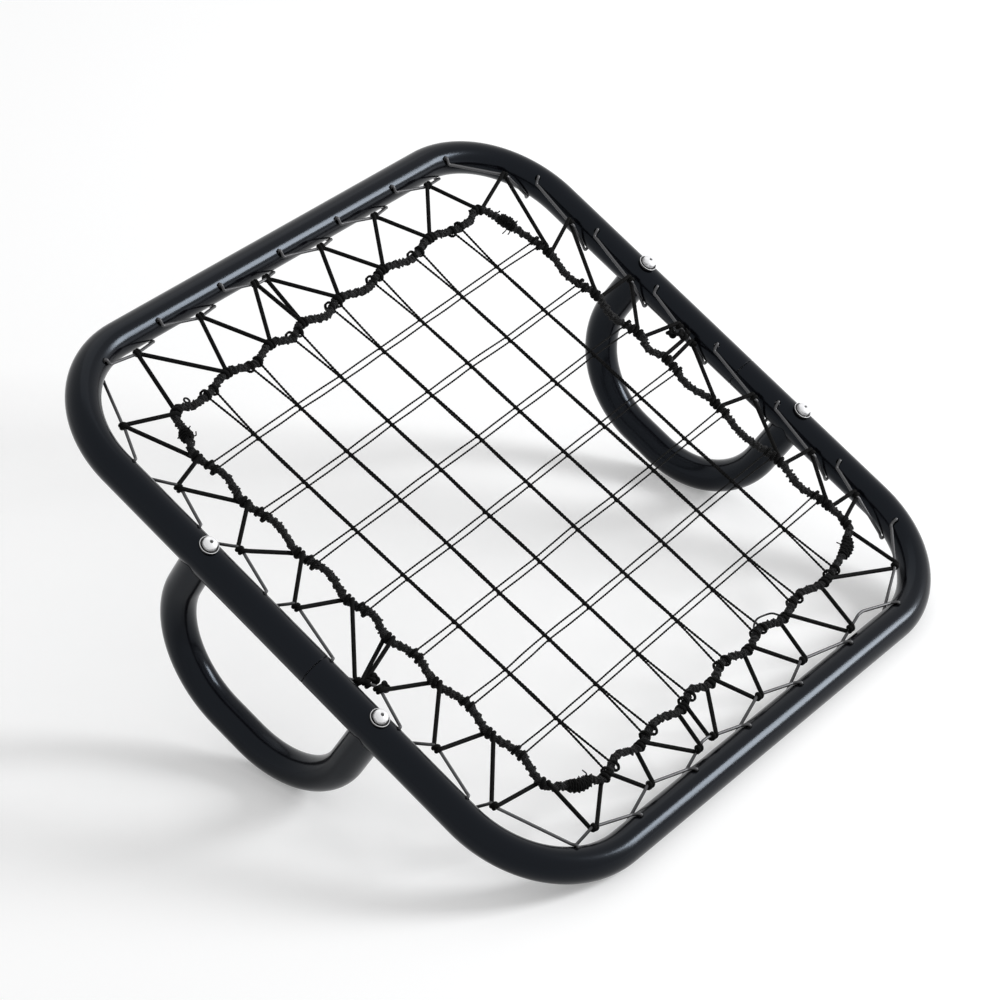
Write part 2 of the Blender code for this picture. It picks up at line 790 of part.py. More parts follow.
def main():
    clear_scene()
    paint = make_material("gloss_black_paint", (0.012, 0.013, 0.018), 0.28, 0.0)
    steel = make_material("bare_steel", (0.45, 0.45, 0.47), 0.45, 1.0)
    zinc = make_material("bright_zinc", (0.75, 0.75, 0.76), 0.25, 1.0)
    coated_wire = make_material("zinc_coated_wire", (0.35, 0.35, 0.36), 0.4, 1.0)
    elastic = make_material("black_elastic_cord", (0.018, 0.018, 0.02), 0.75, 0.0)
    rope = make_material("black_rope", (0.02, 0.02, 0.022), 0.8, 0.0)
    twine = make_material("black_twine", (0.025, 0.025, 0.028), 0.7, 0.0)
    stand = make_stand()
    cutter = make_hole_cutter(stand)
    make_frame(stand, paint, cutter)
    make_sleeves(stand, steel, cutter)
    make_legs(stand, paint)
    make_fasteners(stand, zinc, zinc, steel)
    make_wire(stand, coated_wire)
    make_rope(stand, rope)
    make_lashings(stand, twine)
    make_lacing(stand, elastic)
    make_net(stand, twine)


main()
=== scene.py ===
# %% [markdown]
# # A soccer rebounder
#
# A square of round black tube stands on its bottom rail and on two U legs. Inside it an
# elastic cord, laced to a zigzag wire, holds a knotted net. This lesson loads the plain
# CAD solids, covers most of them with fuller pieces and gives every piece a finish.
#
# The pieces are laid out flat, in the frame's own plane: X across, Y from the bottom rail
# to the top rail, Z out of the front. One matrix then leans them back to where they stand.

# %% Load the frame
import math
import random
from itertools import product

import bmesh
import bpy
import numpy as np
from mathutils import Matrix, Vector


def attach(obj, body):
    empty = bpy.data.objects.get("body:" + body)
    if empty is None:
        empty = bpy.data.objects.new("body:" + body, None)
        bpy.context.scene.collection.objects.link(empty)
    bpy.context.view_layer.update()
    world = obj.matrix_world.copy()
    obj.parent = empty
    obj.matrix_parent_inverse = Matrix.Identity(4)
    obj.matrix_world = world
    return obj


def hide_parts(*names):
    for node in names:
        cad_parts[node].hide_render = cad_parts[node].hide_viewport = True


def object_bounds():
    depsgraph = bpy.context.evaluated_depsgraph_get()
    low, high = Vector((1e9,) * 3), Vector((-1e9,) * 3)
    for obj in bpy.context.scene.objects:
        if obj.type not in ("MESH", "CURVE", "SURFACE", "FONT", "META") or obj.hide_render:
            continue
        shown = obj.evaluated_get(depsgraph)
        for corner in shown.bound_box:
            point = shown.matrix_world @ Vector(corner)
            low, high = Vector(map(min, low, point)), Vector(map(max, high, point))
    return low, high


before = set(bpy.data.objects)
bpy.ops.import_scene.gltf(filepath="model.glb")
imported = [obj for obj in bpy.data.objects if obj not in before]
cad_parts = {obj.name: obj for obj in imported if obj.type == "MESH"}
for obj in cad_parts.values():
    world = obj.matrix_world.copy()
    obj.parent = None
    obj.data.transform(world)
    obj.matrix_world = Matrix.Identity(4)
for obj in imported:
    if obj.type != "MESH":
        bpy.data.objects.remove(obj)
cad_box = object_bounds()
print("CAD nodes:", len(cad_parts))

# %% [markdown]
# ## The lean
#
# The bottom rail and the legs' bends both touch the floor, so the lean is the steepest
# slope from the bottom rail to a point of a leg. It comes from the CAD's own sizes, and
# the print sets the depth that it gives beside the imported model's.

# %% Lean the flat layout back to where the frame stands
FRAME_HALF = 0.300
TUBE_RADIUS = 0.015
CORNER_RADIUS = 0.098
LEG_DEPTH = 0.134
LEG_BEND = 0.084
LEG_RAKE = 0.010
LEG_LEAN = math.radians(4.0)
BOLT_SPAN_HALF = 0.099
SEAM_DROP = 0.033
FRONT = Vector((0, 0, 1))
SIDES = {"left": -1, "right": 1}
ENDS = {"lower": -1, "upper": 1}
BEND_STEPS = 28


def rounded_path(corners, radius, steps=BEND_STEPS):
    """An open path through the corners, each one rounded to the radius."""
    points = [corners[0].copy()]
    for before, corner, after in zip(corners, corners[1:], corners[2:]):
        back = (before - corner).normalized()
        ahead = (after - corner).normalized()
        half_angle = back.angle(ahead) / 2
        centre = corner + (back + ahead).normalized() * radius / math.sin(half_angle)
        first = corner + back * radius / math.tan(half_angle) - centre
        last = corner + ahead * radius / math.tan(half_angle) - centre
        for step in range(steps + 1):
            points.append(centre + first.slerp(last, step / steps) * radius)
    points.append(corners[-1].copy())
    return points


def leg_down(side):
    """The way a leg runs from the frame: backwards, leaning in towards the middle."""
    return Vector((-side * math.sin(LEG_LEAN), 0, -math.cos(LEG_LEAN)))


def leg_path(side, steps=BEND_STEPS):
    rail = Vector((side * FRAME_HALF, 0, 0))
    foot = leg_down(side) * LEG_DEPTH + Vector((0, LEG_RAKE, 0))
    lower = rail + Vector((0, -BOLT_SPAN_HALF, 0))
    upper = rail + Vector((0, BOLT_SPAN_HALF, 0))
    return rounded_path([lower, lower + foot, upper + foot, upper], LEG_BEND, steps)


CAD_BEND_STEPS = 7
tilt = max(math.atan2(-p.z, p.y + FRAME_HALF) for p in leg_path(1, CAD_BEND_STEPS))
STAND = Matrix.Translation((0, 0, FRAME_HALF * math.sin(tilt) + TUBE_RADIUS)) @ Matrix.Rotation(tilt, 4, "X")
leaning_depth = 2 * (FRAME_HALF * math.cos(tilt) + TUBE_RADIUS)
packed_depth = cad_box[1][1] - cad_box[0][1]
print("lean", round(math.degrees(tilt), 2), "depths", round(leaning_depth, 4), round(packed_depth, 4))

# %% [markdown]
# ## Meshes from lists of points
#
# Tubes, wires, cords and strands are all round sections swept along a line. Blender's
# curve bevel could do it, but a mesh built here also keeps how far each point lies along
# the cord and round it. The weaves are drawn from those two numbers, so they follow
# every bend of the cord.

# %% Draw a smooth line through points
def as_array(points):
    return np.array([tuple(p) for p in points], float)


def between(t, low, start, high, end):
    """The point at t on the way from start, at low, to end, at high."""
    return (high - t) / (high - low) * start + (t - low) / (high - low) * end


def spline_through(points, spacing, closed=False):
    """A smooth line through the points, with stations about one spacing apart."""
    pts = as_array(points)
    if closed:
        pts = np.vstack([pts[-1], pts, pts[0], pts[1]])
    else:
        pts = np.vstack([2 * pts[0] - pts[1], pts, 2 * pts[-1] - pts[-2]])
    out = []
    for a, b, c, d in zip(pts, pts[1:], pts[2:], pts[3:]):
        knots = [0.0]
        for p, q in ((a, b), (b, c), (c, d)):
            knots.append(knots[-1] + max(np.linalg.norm(q - p), 1e-6) ** 0.5)
        t0, t1, t2, t3 = knots
        steps = max(1, int(math.ceil(np.linalg.norm(c - b) / spacing)))
        for t in np.linspace(t1, t2, steps, endpoint=False):
            ab = between(t, t0, a, t1, b)
            bc = between(t, t1, b, t2, c)
            cd = between(t, t2, c, t3, d)
            abc = between(t, t0, ab, t2, bc)
            bcd = between(t, t1, bc, t3, cd)
            out.append(between(t, t1, abc, t2, bcd))
    if not closed:
        out.append(pts[-2])
    return np.array(out)


# %% Find directions and lengths along a line
def squared(side, ahead):
    """The part of a direction that lies square to another, at unit length."""
    side = side - ahead * (side @ ahead)
    return side / np.linalg.norm(side)


def frames_along(path, closed):
    """Two directions across the path that turn as little as possible along it."""
    if closed:
        ahead = np.roll(path, -1, 0) - np.roll(path, 1, 0)
    else:
        ahead = np.gradient(path, axis=0)
    ahead /= np.linalg.norm(ahead, axis=1)[:, None]
    start = np.array((0.0, 0.0, 1.0))
    if abs(ahead[0] @ start) > 0.9:
        start = np.array((0.0, 1.0, 0.0))
    across = np.zeros_like(path)
    across[0] = squared(start, ahead[0])
    for i in range(1, len(path)):
        across[i] = squared(across[i - 1], ahead[i])
    if closed:
        side = squared(across[-1], ahead[0])
        slip = math.atan2(np.cross(side, across[0]) @ ahead[0], side @ across[0])
        turn = np.linspace(0, slip, len(path))
        other = np.cross(ahead, across)
        across = across * np.cos(turn)[:, None] + other * np.sin(turn)[:, None]
    return across, np.cross(ahead, across)


def lengths_along(path, closed):
    """How far along each point lies, and the whole length."""
    steps = np.linalg.norm(np.diff(path, axis=0), axis=1)
    run = np.concatenate([[0.0], np.cumsum(steps)])
    if closed:
        return run, run[-1] + np.linalg.norm(path[0] - path[-1])
    return run, run[-1]


# %% Put a piece into the scene
def place_object(name, data):
    """A new object that holds a mesh, lamp or camera."""
    item = bpy.data.objects.new(name, data)
    bpy.context.scene.collection.objects.link(item)
    return item


def smooth_edges(item, angle=35):
    """Shades a piece smooth, apart from edges sharper than the angle."""
    item.data.shade_smooth()
    item.data.set_sharp_from_angle(angle=math.radians(angle))


def finish_piece(item, material, slot, *nodes):
    """Gives a piece its material, ties it to the frame and hides the CAD nodes it stands for."""
    item.data.materials.clear()
    item.data.materials.append(material)
    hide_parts(*nodes)
    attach(item, "root")
    print(item.name, len(item.data.polygons), "faces")


# %% Sweep round sections into one mesh
class Sweep:
    """Collects swept sections into one mesh, with 'along' and 'around' kept for materials."""

    def __init__(self):
        self.verts = []
        self.faces = []
        self.along = []
        self.around = []
        self.count = 0

    def add(self, path, radius, sides, closed=False):
        path = np.asarray(path, float)
        radii = np.broadcast_to(np.asarray(radius, float), (len(path),))
        across, other = frames_along(path, closed)
        run, _ = lengths_along(path, closed)
        angles = np.arange(sides) * 2 * math.pi / sides
        ring = (across[:, None] * np.cos(angles)[None, :, None]
                + other[:, None] * np.sin(angles)[None, :, None])
        verts = path[:, None] + ring * radii[:, None, None]
        self.verts.append(verts.reshape(-1, 3))
        self.along.append(np.repeat(run, sides))
        self.around.append(np.tile(angles / (2 * math.pi), len(path)))
        rows = len(path) if closed else len(path) - 1
        i, j = np.meshgrid(np.arange(rows), np.arange(sides), indexing="ij")
        here = i * sides
        beyond = (i + 1) % len(path) * sides
        after = (j + 1) % sides
        quads = np.stack([here + j, here + after, beyond + after, beyond + j], -1)
        self.faces += (quads.reshape(-1, 4) + self.count).tolist()
        if not closed:
            first = self.count + np.arange(sides)
            last = first + (len(path) - 1) * sides
            self.faces += [first[::-1].tolist(), last.tolist()]
        self.count += len(path) * sides

    def piece(self, name):
        """Makes one object of everything added so far, standing where the frame stands."""
        mesh = bpy.data.meshes.new(name)
        mesh.from_pydata(np.vstack(self.verts).tolist(), [], self.faces)
        for label, values in (("along", self.along), ("around", self.around)):
            attribute = mesh.attributes.new(label, "FLOAT", "POINT")
            attribute.data.foreach_set("value", np.concatenate(values).astype(np.float32))
        mesh.transform(STAND)
        item = place_object(name, mesh)
        smooth_edges(item, 50)
        return item


# %% [markdown]
# ## Shared finishes
#
# Four small node groups hold the surfaces' effects: the orange peel of sprayed powder,
# fine dust, the lay of twisted yarn and the plait of a braided sleeve. They only give out
# numbers that change over the surface. The shader stays in the material, where its gloss
# is set directly.

# %% A helper that starts a node group
def new_group(name, inputs, outputs):
    print("group", name)
    group = bpy.data.node_groups.new(name, "ShaderNodeTree")
    for label, value in inputs:
        socket = group.interface.new_socket(label, in_out="INPUT", socket_type="NodeSocketFloat")
        socket.default_value = value
    for label in outputs:
        group.interface.new_socket(label, in_out="OUTPUT", socket_type="NodeSocketFloat")
    start = group.nodes.new("NodeGroupInput")
    end = group.nodes.new("NodeGroupOutput")
    return group, start, end


def add_node(tree, kind, settings=None, **links):
    """One node with its settings, and its inputs linked or set by name, or by number as i0."""
    node = tree.nodes.new(kind)
    for label, value in (settings or {}).items():
        setattr(node, label, value)
    for label, value in links.items():
        key = int(label[1:]) if label[0] == "i" and label[1:].isdigit() else label.replace("_", " ")
        if isinstance(value, bpy.types.NodeSocket):
            tree.links.new(value, node.inputs[key])
        else:
            node.inputs[key].default_value = value
    return node


def math_node(tree, operation, first, second=0.0):
    return add_node(tree, "ShaderNodeMath", {"operation": operation}, i0=first, i1=second).outputs[0]


def times(tree, first, second):
    return math_node(tree, "MULTIPLY", first, second)


def noise(tree, scale, detail):
    """Noise that is fixed to the object."""
    place = add_node(tree, "ShaderNodeTexCoord").outputs["Object"]
    return add_node(tree, "ShaderNodeTexNoise", Vector=place, Scale=scale, Detail=detail).outputs["Fac"]


def kept_value(tree, name):
    """A number that the mesh keeps for each point."""
    return add_node(tree, "ShaderNodeAttribute", {"attribute_name": name}).outputs["Fac"]


def spread(tree, value, low, high, **targets):
    """Stretches the values between low and high to 0 and 1, or to the targets."""
    settings = {"From_Min": low, "From_Max": high, **targets}
    return add_node(tree, "ShaderNodeMapRange", Value=value, **settings).outputs[0]


# %% Orange peel of sprayed powder
MOTTLE_SCALE = 14.0
peel, start, end = new_group("powder_peel", [("Scale", 400.0), ("Depth", 1.0)], ["Height", "Mottle"])
fine = noise(peel, start.outputs["Scale"], 2.0)
peel.links.new(times(peel, fine, start.outputs["Depth"]), end.inputs["Height"])
peel.links.new(noise(peel, MOTTLE_SCALE, 3.0), end.inputs["Mottle"])

# %% Fine dust that settles in small specks
PATCH_SCALE = 9.0
dust, start, end = new_group("fine_dust", [("Scale", 900.0), ("Amount", 0.3)], ["Mask"])
specks = spread(dust, noise(dust, start.outputs["Scale"], 4.0), 0.55, 0.75)
both = times(dust, specks, noise(dust, PATCH_SCALE, 2.0))
dust.links.new(times(dust, both, start.outputs["Amount"]), end.inputs["Mask"])

# %% Lay of twisted yarn
FIBRE_SCALE = 2500.0
lay, start, end = new_group("twisted_lay", [("Turns per metre", 200.0), ("Yarns", 6.0), ("Fibre", 0.3)],
                            ["Height", "Shade"])
twist = times(lay, kept_value(lay, "along"), start.outputs["Turns per metre"])
twist = math_node(lay, "ADD", twist, kept_value(lay, "around"))
phase = times(lay, twist, start.outputs["Yarns"])
wave = math_node(lay, "SINE", times(lay, phase, 2 * math.pi))
fibre = noise(lay, FIBRE_SCALE, 3.0)
fuzz = times(lay, fibre, start.outputs["Fibre"])
lay.links.new(math_node(lay, "ADD", times(lay, wave, 0.5), fuzz), end.inputs["Height"])
# Shade is painted shade: light on the yarns' crests and dark in the grooves between them, with random fibre
# tone.
lay.links.new(times(lay, spread(lay, wave, -1.0, 1.0), fibre), end.inputs["Shade"])

# %% Plait of a braided sleeve
plait, start, end = new_group("braided_plait", [("Picks per metre", 330.0), ("Carriers", 8.0)],
                              ["Height", "Shade"])
run = times(plait, kept_value(plait, "along"), start.outputs["Picks per metre"])
turn = times(plait, kept_value(plait, "around"), start.outputs["Carriers"])
ridges = []
for hand in ("ADD", "SUBTRACT"):
    phase = times(plait, math_node(plait, hand, run, turn), math.pi)
    ridges.append(math_node(plait, "ABSOLUTE", math_node(plait, "SINE", phase)))
cross = math_node(plait, "MAXIMUM", *ridges)
plait.links.new(cross, end.inputs["Height"])
# Shade is painted shade: light on the plait's ridges and dark between them.
plait.links.new(spread(plait, cross, 0.6, 1.0), end.inputs["Shade"])


# %% [markdown]
# ## Materials
#
# The tube is powder coated: a thin glossy black skin with a soft highlight along it. The
# cords are dull black textile, so their relief shows more than their colour. The bolts and
# washers are zinc on steel and are the only bright pieces.

# %% Helpers that start a material
def new_material(name, colour, roughness, metallic=0.0, specular=0.5):
    print("material", name)
    material = bpy.data.materials.new(name)
    material.use_nodes = True
    tree = material.node_tree
    shader = tree.nodes["Principled BSDF"]
    shader.inputs["Base Color"].default_value = (*colour, 1)
    shader.inputs["Roughness"].default_value = roughness
    shader.inputs["Metallic"].default_value = metallic
    shader.inputs["Specular IOR Level"].default_value = specular
    return material, tree, shader


def use_group(tree, group, **values):
    node = tree.nodes.new("ShaderNodeGroup")
    node.node_tree = group
    for label, value in values.items():
        node.inputs[label.replace("_", " ")].default_value = value
    return node


def add_bump(tree, shader, height, distance, strength):
    bump = add_node(tree, "ShaderNodeBump", Strength=strength, Distance=distance, Height=height)
    tree.links.new(bump.outputs["Normal"], shader.inputs["Normal"])


def mix_colours(tree, factor, first, second):
    node = add_node(tree, "ShaderNodeMix", {"data_type": "RGBA"})
    tree.links.new(factor, node.inputs[0])
    node.inputs[6].default_value = (*first, 1)
    node.inputs[7].default_value = (*second, 1)
    return node.outputs[2]


def vary_roughness(tree, shader, factor, low, high):
    tree.links.new(spread(tree, factor, 0.0, 1.0, To_Min=low, To_Max=high), shader.inputs["Roughness"])


# %% Helpers for what skins and weaves share
WEAVE_ROUGHNESS = (0.85, 0.6)
WEAVE_BUMP = 0.8


def add_skin(tree, shader, scale, roughness, depth, strength):
    """Orange peel as relief, and a roughness that drifts between two values."""
    skin = use_group(tree, peel, Scale=scale, Depth=1.0)
    vary_roughness(tree, shader, skin.outputs["Mottle"], *roughness)
    add_bump(tree, shader, skin.outputs["Height"], depth, strength)


def dusted(tree, scale, amount, clean, dusty):
    """The clean colour, with specks of the dusty one."""
    specks = use_group(tree, dust, Scale=scale, Amount=amount)
    return mix_colours(tree, specks.outputs["Mask"], clean, dusty)


def add_weave(tree, shader, weave, dark, light, depth):
    """Colour, roughness and relief that follow a weave; the colour is painted shade, darker in its grooves
    and lighter on its crests.
    """
    tree.links.new(mix_colours(tree, weave.outputs["Shade"], dark, light), shader.inputs["Base Color"])
    vary_roughness(tree, shader, weave.outputs["Shade"], *WEAVE_ROUGHNESS)
    add_bump(tree, shader, weave.outputs["Height"], depth, WEAVE_BUMP)


# %% Gloss black powder coat
POWDER_BLACK = (0.002, 0.002, 0.003)
DUSTY_BLACK = (0.02, 0.02, 0.023)
paint, tree, shader = new_material("gloss_black_powder", POWDER_BLACK, 0.20, specular=0.18)
shader.inputs["Specular Tint"].default_value = (0.72, 0.84, 1.0, 1)
tree.links.new(dusted(tree, 1100.0, 0.25, POWDER_BLACK, DUSTY_BLACK), shader.inputs["Base Color"])
add_skin(tree, shader, 420.0, (0.17, 0.23), 0.0001, 0.25)

# %% Bright zinc
ZINC = (0.82, 0.82, 0.83)
GRIMY_ZINC = (0.30, 0.29, 0.28)
EDGE_SOFTNESS = 0.0002
MARK_RADIUS = 0.0013
PAST_THE_HEAD = 0.0100
WASHER_RADIUS = 0.0085
RECESS_INSET = 0.0007


def zinc_material(name, inner, outer, painted_shade):
    """Zinc plate that is bright between two distances from the axis, and painted dark as shade inside and
    outside them.
    """
    material, tree, shader = new_material(name, ZINC, 0.35, 0.4)
    plate = dusted(tree, 1500.0, 0.25, ZINC, GRIMY_ZINC)
    reach = kept_value(tree, "reach")
    past_inner = spread(tree, reach, inner, inner + EDGE_SOFTNESS)
    past_outer = spread(tree, reach, outer - EDGE_SOFTNESS, outer)
    bright = math_node(tree, "SUBTRACT", past_inner, past_outer)
    shaded = add_node(tree, "ShaderNodeMix", {"data_type": "RGBA"}, i0=bright, i7=plate)
    shaded.inputs[6].default_value = (painted_shade, painted_shade, painted_shade, 1)
    tree.links.new(shaded.outputs[2], shader.inputs["Base Color"])
    add_skin(tree, shader, 900.0, (0.25, 0.35), 0.00005, 0.15)
    return material


# The head's pressed mark is painted dark as shade in its hollow; the washer's recess and outer edge are
# painted dark as shade.
zinc_head = zinc_material("bright_zinc_head", MARK_RADIUS, PAST_THE_HEAD, 0.10)
zinc_cup = zinc_material("bright_zinc_cup", WASHER_RADIUS - RECESS_INSET, WASHER_RADIUS, 0.01)

# %% Bare steel inside the tubes
steel, tree, shader = new_material("bare_steel", (0.42, 0.42, 0.44), 0.45, 1.0)
add_skin(tree, shader, 260.0, (0.35, 0.6), 0.0001, 0.4)

# %% Zinc-coated wire
WIRE_GREY = (0.09, 0.09, 0.093)
WIRE_GRIME = (0.04, 0.04, 0.04)
wire_skin, tree, shader = new_material("zinc_coated_wire", WIRE_GREY, 0.5, 1.0)
tree.links.new(dusted(tree, 1800.0, 0.8, WIRE_GREY, WIRE_GRIME), shader.inputs["Base Color"])
add_skin(tree, shader, 700.0, (0.4, 0.55), 0.00005, 0.4)

# %% Elastic cord in a braided sleeve
SLEEVE_DARK = (0.0015, 0.0015, 0.0015)
SLEEVE_LIGHT = (0.006, 0.006, 0.006)
CORD_SPECULAR = 0.05
elastic, tree, shader = new_material("black_elastic_cord", SLEEVE_LIGHT, 0.7, specular=CORD_SPECULAR)
sleeve = use_group(tree, plait, Picks_per_metre=520.0, Carriers=8.0)
add_weave(tree, shader, sleeve, SLEEVE_DARK, SLEEVE_LIGHT, 0.0004)


# %% Twisted rope and thin twine
def yarn_material(name, dark, light, turns, yarns, depth):
    material, tree, shader = new_material(name, light, 0.75, specular=CORD_SPECULAR)
    twisted_yarn = use_group(tree, lay, Turns_per_metre=turns, Yarns=yarns, Fibre=0.5)
    add_weave(tree, shader, twisted_yarn, dark, light, depth)
    shader.inputs["Sheen Weight"].default_value = 0.05
    shader.inputs["Sheen Roughness"].default_value = 0.4
    return material


rope_yarn = yarn_material("black_rope", (0.001, 0.001, 0.001), (0.085, 0.085, 0.087), 260.0, 3.0, 0.0006)
twine = yarn_material("black_twine", (0.0015, 0.0015, 0.0015), (0.007, 0.007, 0.007), 300.0, 3.0, 0.0002)

# %% [markdown]
# ## The frame
#
# Two U bends of 30 mm steel tube meet at a fine seam in each side rail, over a hidden
# sleeve. The CAD solid has few sides, so its corners would show as facets in the gloss.
# The same path is swept again with many sides, and the wire's and bolts' holes are cut
# through it with a Boolean modifier.

# %% Places around a rounded square
def square_place(distance, half, corner):
    """A point on a rounded square and its inward direction, clockwise from the top's middle."""
    straight = half - corner
    side_length = 2 * straight + corner * math.pi / 2
    side = math.floor(distance / side_length + 0.5)
    along = distance - side * side_length
    reach = math.copysign(1, along)
    if abs(along) <= straight:
        point = Vector((along, half, 0))
        inward = Vector((0, -1, 0))
    else:
        angle = (abs(along) - straight) / corner
        outward = Vector((reach * math.sin(angle), math.cos(angle), 0))
        point = Vector((reach * straight, straight, 0)) + outward * corner
        inward = -outward
    turn = Matrix.Rotation(-side * math.pi / 2, 3, "Z")
    return turn @ point, turn @ inward


SIDE_LENGTH = 2 * (FRAME_HALF - CORNER_RADIUS) + CORNER_RADIUS * math.pi / 2


def frame_tube_place(distance, inset, height):
    """A point beside the frame's tube axis: inset towards the net, height to the front."""
    point, inward = square_place(distance, FRAME_HALF, CORNER_RADIUS)
    return point + inward * inset + FRONT * height


# %% Holes for the wire
PITCHES_PER_SIDE = 7.2
HOLE_PITCH = SIDE_LENGTH / PITCHES_PER_SIDE
HOLE_ROWS = {"top": (7, -0.14), "right": (7, 0.03), "bottom": (7, 0.28), "left": (6, 0.01)}
QUARTER_TURNS = {"top": 0, "right": 1, "bottom": 2, "left": 3}
WIRE_HOLE_RADIUS = 0.0025
WIRE_HOLE_OFFSET = 0.009
BOLT_HOLE_RADIUS = 0.0043
AROUND = 4 * SIDE_LENGTH


def distances_along(rows, pitch, side_length):
    """Distances clockwise from the top's middle, for places given in pitches side by side."""
    return [QUARTER_TURNS[side] * side_length + place * pitch
            for side, places in rows.items() for place in places]


hole_places = {side: [shift + index - (count - 1) / 2 for index in range(count)]
               for side, (count, shift) in HOLE_ROWS.items()}
holes = distances_along(hole_places, HOLE_PITCH, SIDE_LENGTH)
print("wire holes:", len(holes))


# %% Cut rods out of a piece
ROD_REACH = 0.022


def add_rod(bm, start, end, radius, sides=20):
    axis = end - start
    turn = axis.to_track_quat("Z", "Y").to_matrix().to_4x4()
    place = Matrix.Translation((start + end) / 2) @ turn
    bmesh.ops.create_cone(bm, cap_ends=True, segments=sides, radius1=radius, radius2=radius,
                          depth=axis.length, matrix=place)


def mesh_from(bm, name, matrix):
    """Turns a bmesh into a mesh, placed by the matrix, with its faces turned outwards."""
    bmesh.ops.recalc_face_normals(bm, faces=bm.faces)
    mesh = bpy.data.meshes.new(name)
    bm.to_mesh(mesh)
    bm.free()
    mesh.transform(matrix)
    return mesh


def bridge(bm, one, two):
    """Faces between two rings of points, of which one may be a single point."""
    sides = max(len(one), len(two))
    for k in range(sides):
        n = (k + 1) % sides
        corners = [one[k % len(one)], one[n % len(one)], two[n % len(two)], two[k % len(two)]]
        bm.faces.new(list(dict.fromkeys(corners)))


def cut_away(item, bm):
    """Cuts the rods in bm out of an item's mesh, and leaves a plain mesh."""
    cutter = place_object("cutter", mesh_from(bm, "cutter", STAND))
    modifier = item.modifiers.new("holes", "BOOLEAN")
    modifier.operation = "DIFFERENCE"
    modifier.solver = "EXACT"
    modifier.object = cutter
    bpy.context.view_layer.update()
    shape = item.evaluated_get(bpy.context.evaluated_depsgraph_get())
    cut = bpy.data.meshes.new_from_object(shape)
    item.modifiers.clear()
    item.data = cut
    bpy.data.objects.remove(cutter)


def bolt_axis(side):
    """The way a bolt points: out of its leg's arm, through the rail."""
    return -(leg_down(side) * LEG_DEPTH + Vector((0, LEG_RAKE, 0))).normalized()


# %% Sweep a hollow tube
TUBE_WALL = 0.0015
SEAM_EASE = 0.0006
TUBE_SIDES = 72


def swept_tube(name, path, normal, ease):
    """A hollow tube along a flat path; its ends are eased by a small chamfer."""
    points = as_array(path)
    steps = np.diff(points, axis=0)
    steps /= np.linalg.norm(steps, axis=1)[:, None]
    ahead = np.vstack([steps[:1], 0.5 * (steps[1:] + steps[:-1]), steps[-1:]])
    ahead /= np.linalg.norm(ahead, axis=1)[:, None]
    normal = np.array(tuple(normal))
    across = np.cross(ahead, normal)
    last = len(points) - 1
    stations = [(0, 0.0, -ease), (0, ease, 0.0)]
    stations += [(index, 0.0, 0.0) for index in range(1, last)]
    stations += [(last, -ease, 0.0), (last, 0.0, -ease)]
    angles = np.arange(TUBE_SIDES) * 2 * math.pi / TUBE_SIDES
    bm = bmesh.new()
    loops = []
    for radius, eased in ((TUBE_RADIUS, 1), (TUBE_RADIUS - TUBE_WALL, 0)):
        rows = []
        for index, shift, shrink in stations:
            reach = radius + shrink * eased
            centre = points[index] + ahead[index] * shift
            ways = [across[index] * math.cos(a) + normal * math.sin(a) for a in angles]
            rows.append([bm.verts.new(centre + way * reach) for way in ways])
        loops.append(rows)
    outer, inner = loops
    pairs = [*zip(outer, outer[1:]), *zip(inner, inner[1:]), (outer[0], inner[0]), (outer[-1], inner[-1])]
    for one, two in pairs:
        bridge(bm, one, two)
    return place_object(name, mesh_from(bm, name, STAND))


# %% Make the two halves of the frame
SEAT_GAP = 0.0003
for name, end in (("frame_upper_u", 1), ("frame_lower_u", -1)):
    seam = -SEAM_DROP + end * SEAT_GAP / 2
    places = ((1, seam), (1, end * FRAME_HALF), (-1, end * FRAME_HALF), (-1, seam))
    corners = [Vector((x * FRAME_HALF, y, 0)) for x, y in places]
    item = swept_tube(name + "_tube", rounded_path(corners, CORNER_RADIUS), FRONT, SEAM_EASE)
    rods = bmesh.new()
    for distance in holes:
        start = frame_tube_place(distance, WIRE_HOLE_OFFSET, -ROD_REACH)
        if end * (start.y + SEAM_DROP) > 0:
            add_rod(rods, start, start + FRONT * (2 * ROD_REACH), WIRE_HOLE_RADIUS)
    for side in SIDES.values():
        middle = Vector((side * FRAME_HALF, end * BOLT_SPAN_HALF, 0))
        reach = bolt_axis(side) * ROD_REACH
        add_rod(rods, middle - reach, middle + reach, BOLT_HOLE_RADIUS)
    cut_away(item, rods)
    smooth_edges(item)
    finish_piece(item, paint, "frame_paint", name)

# %% [markdown]
# ## The legs
#
# Each leg is the same tube bent to a U. Its two arms are coped, cut hollow to the round
# of the rail, and drawn up against it by the bolts. The cope is cut the same way as the
# holes, with a rod a hair larger than the rail.

# %% Sweep and cope the legs
COPE_REACH = 0.135
COPE_SIDES = 96
LEG_END_EASE = 0.0002
for label, side in SIDES.items():
    normal = leg_down(side).cross(Vector((0, 1, 0)))
    item = swept_tube(f"leg_{label}_tube", leg_path(side), normal, LEG_END_EASE)
    rods = bmesh.new()
    rail = Vector((side * FRAME_HALF, 0, 0))
    reach = Vector((0, COPE_REACH, 0))
    add_rod(rods, rail - reach, rail + reach, TUBE_RADIUS + SEAT_GAP, COPE_SIDES)
    cut_away(item, rods)
    smooth_edges(item)
    finish_piece(item, paint, "frame_paint", f"leg_{label}")
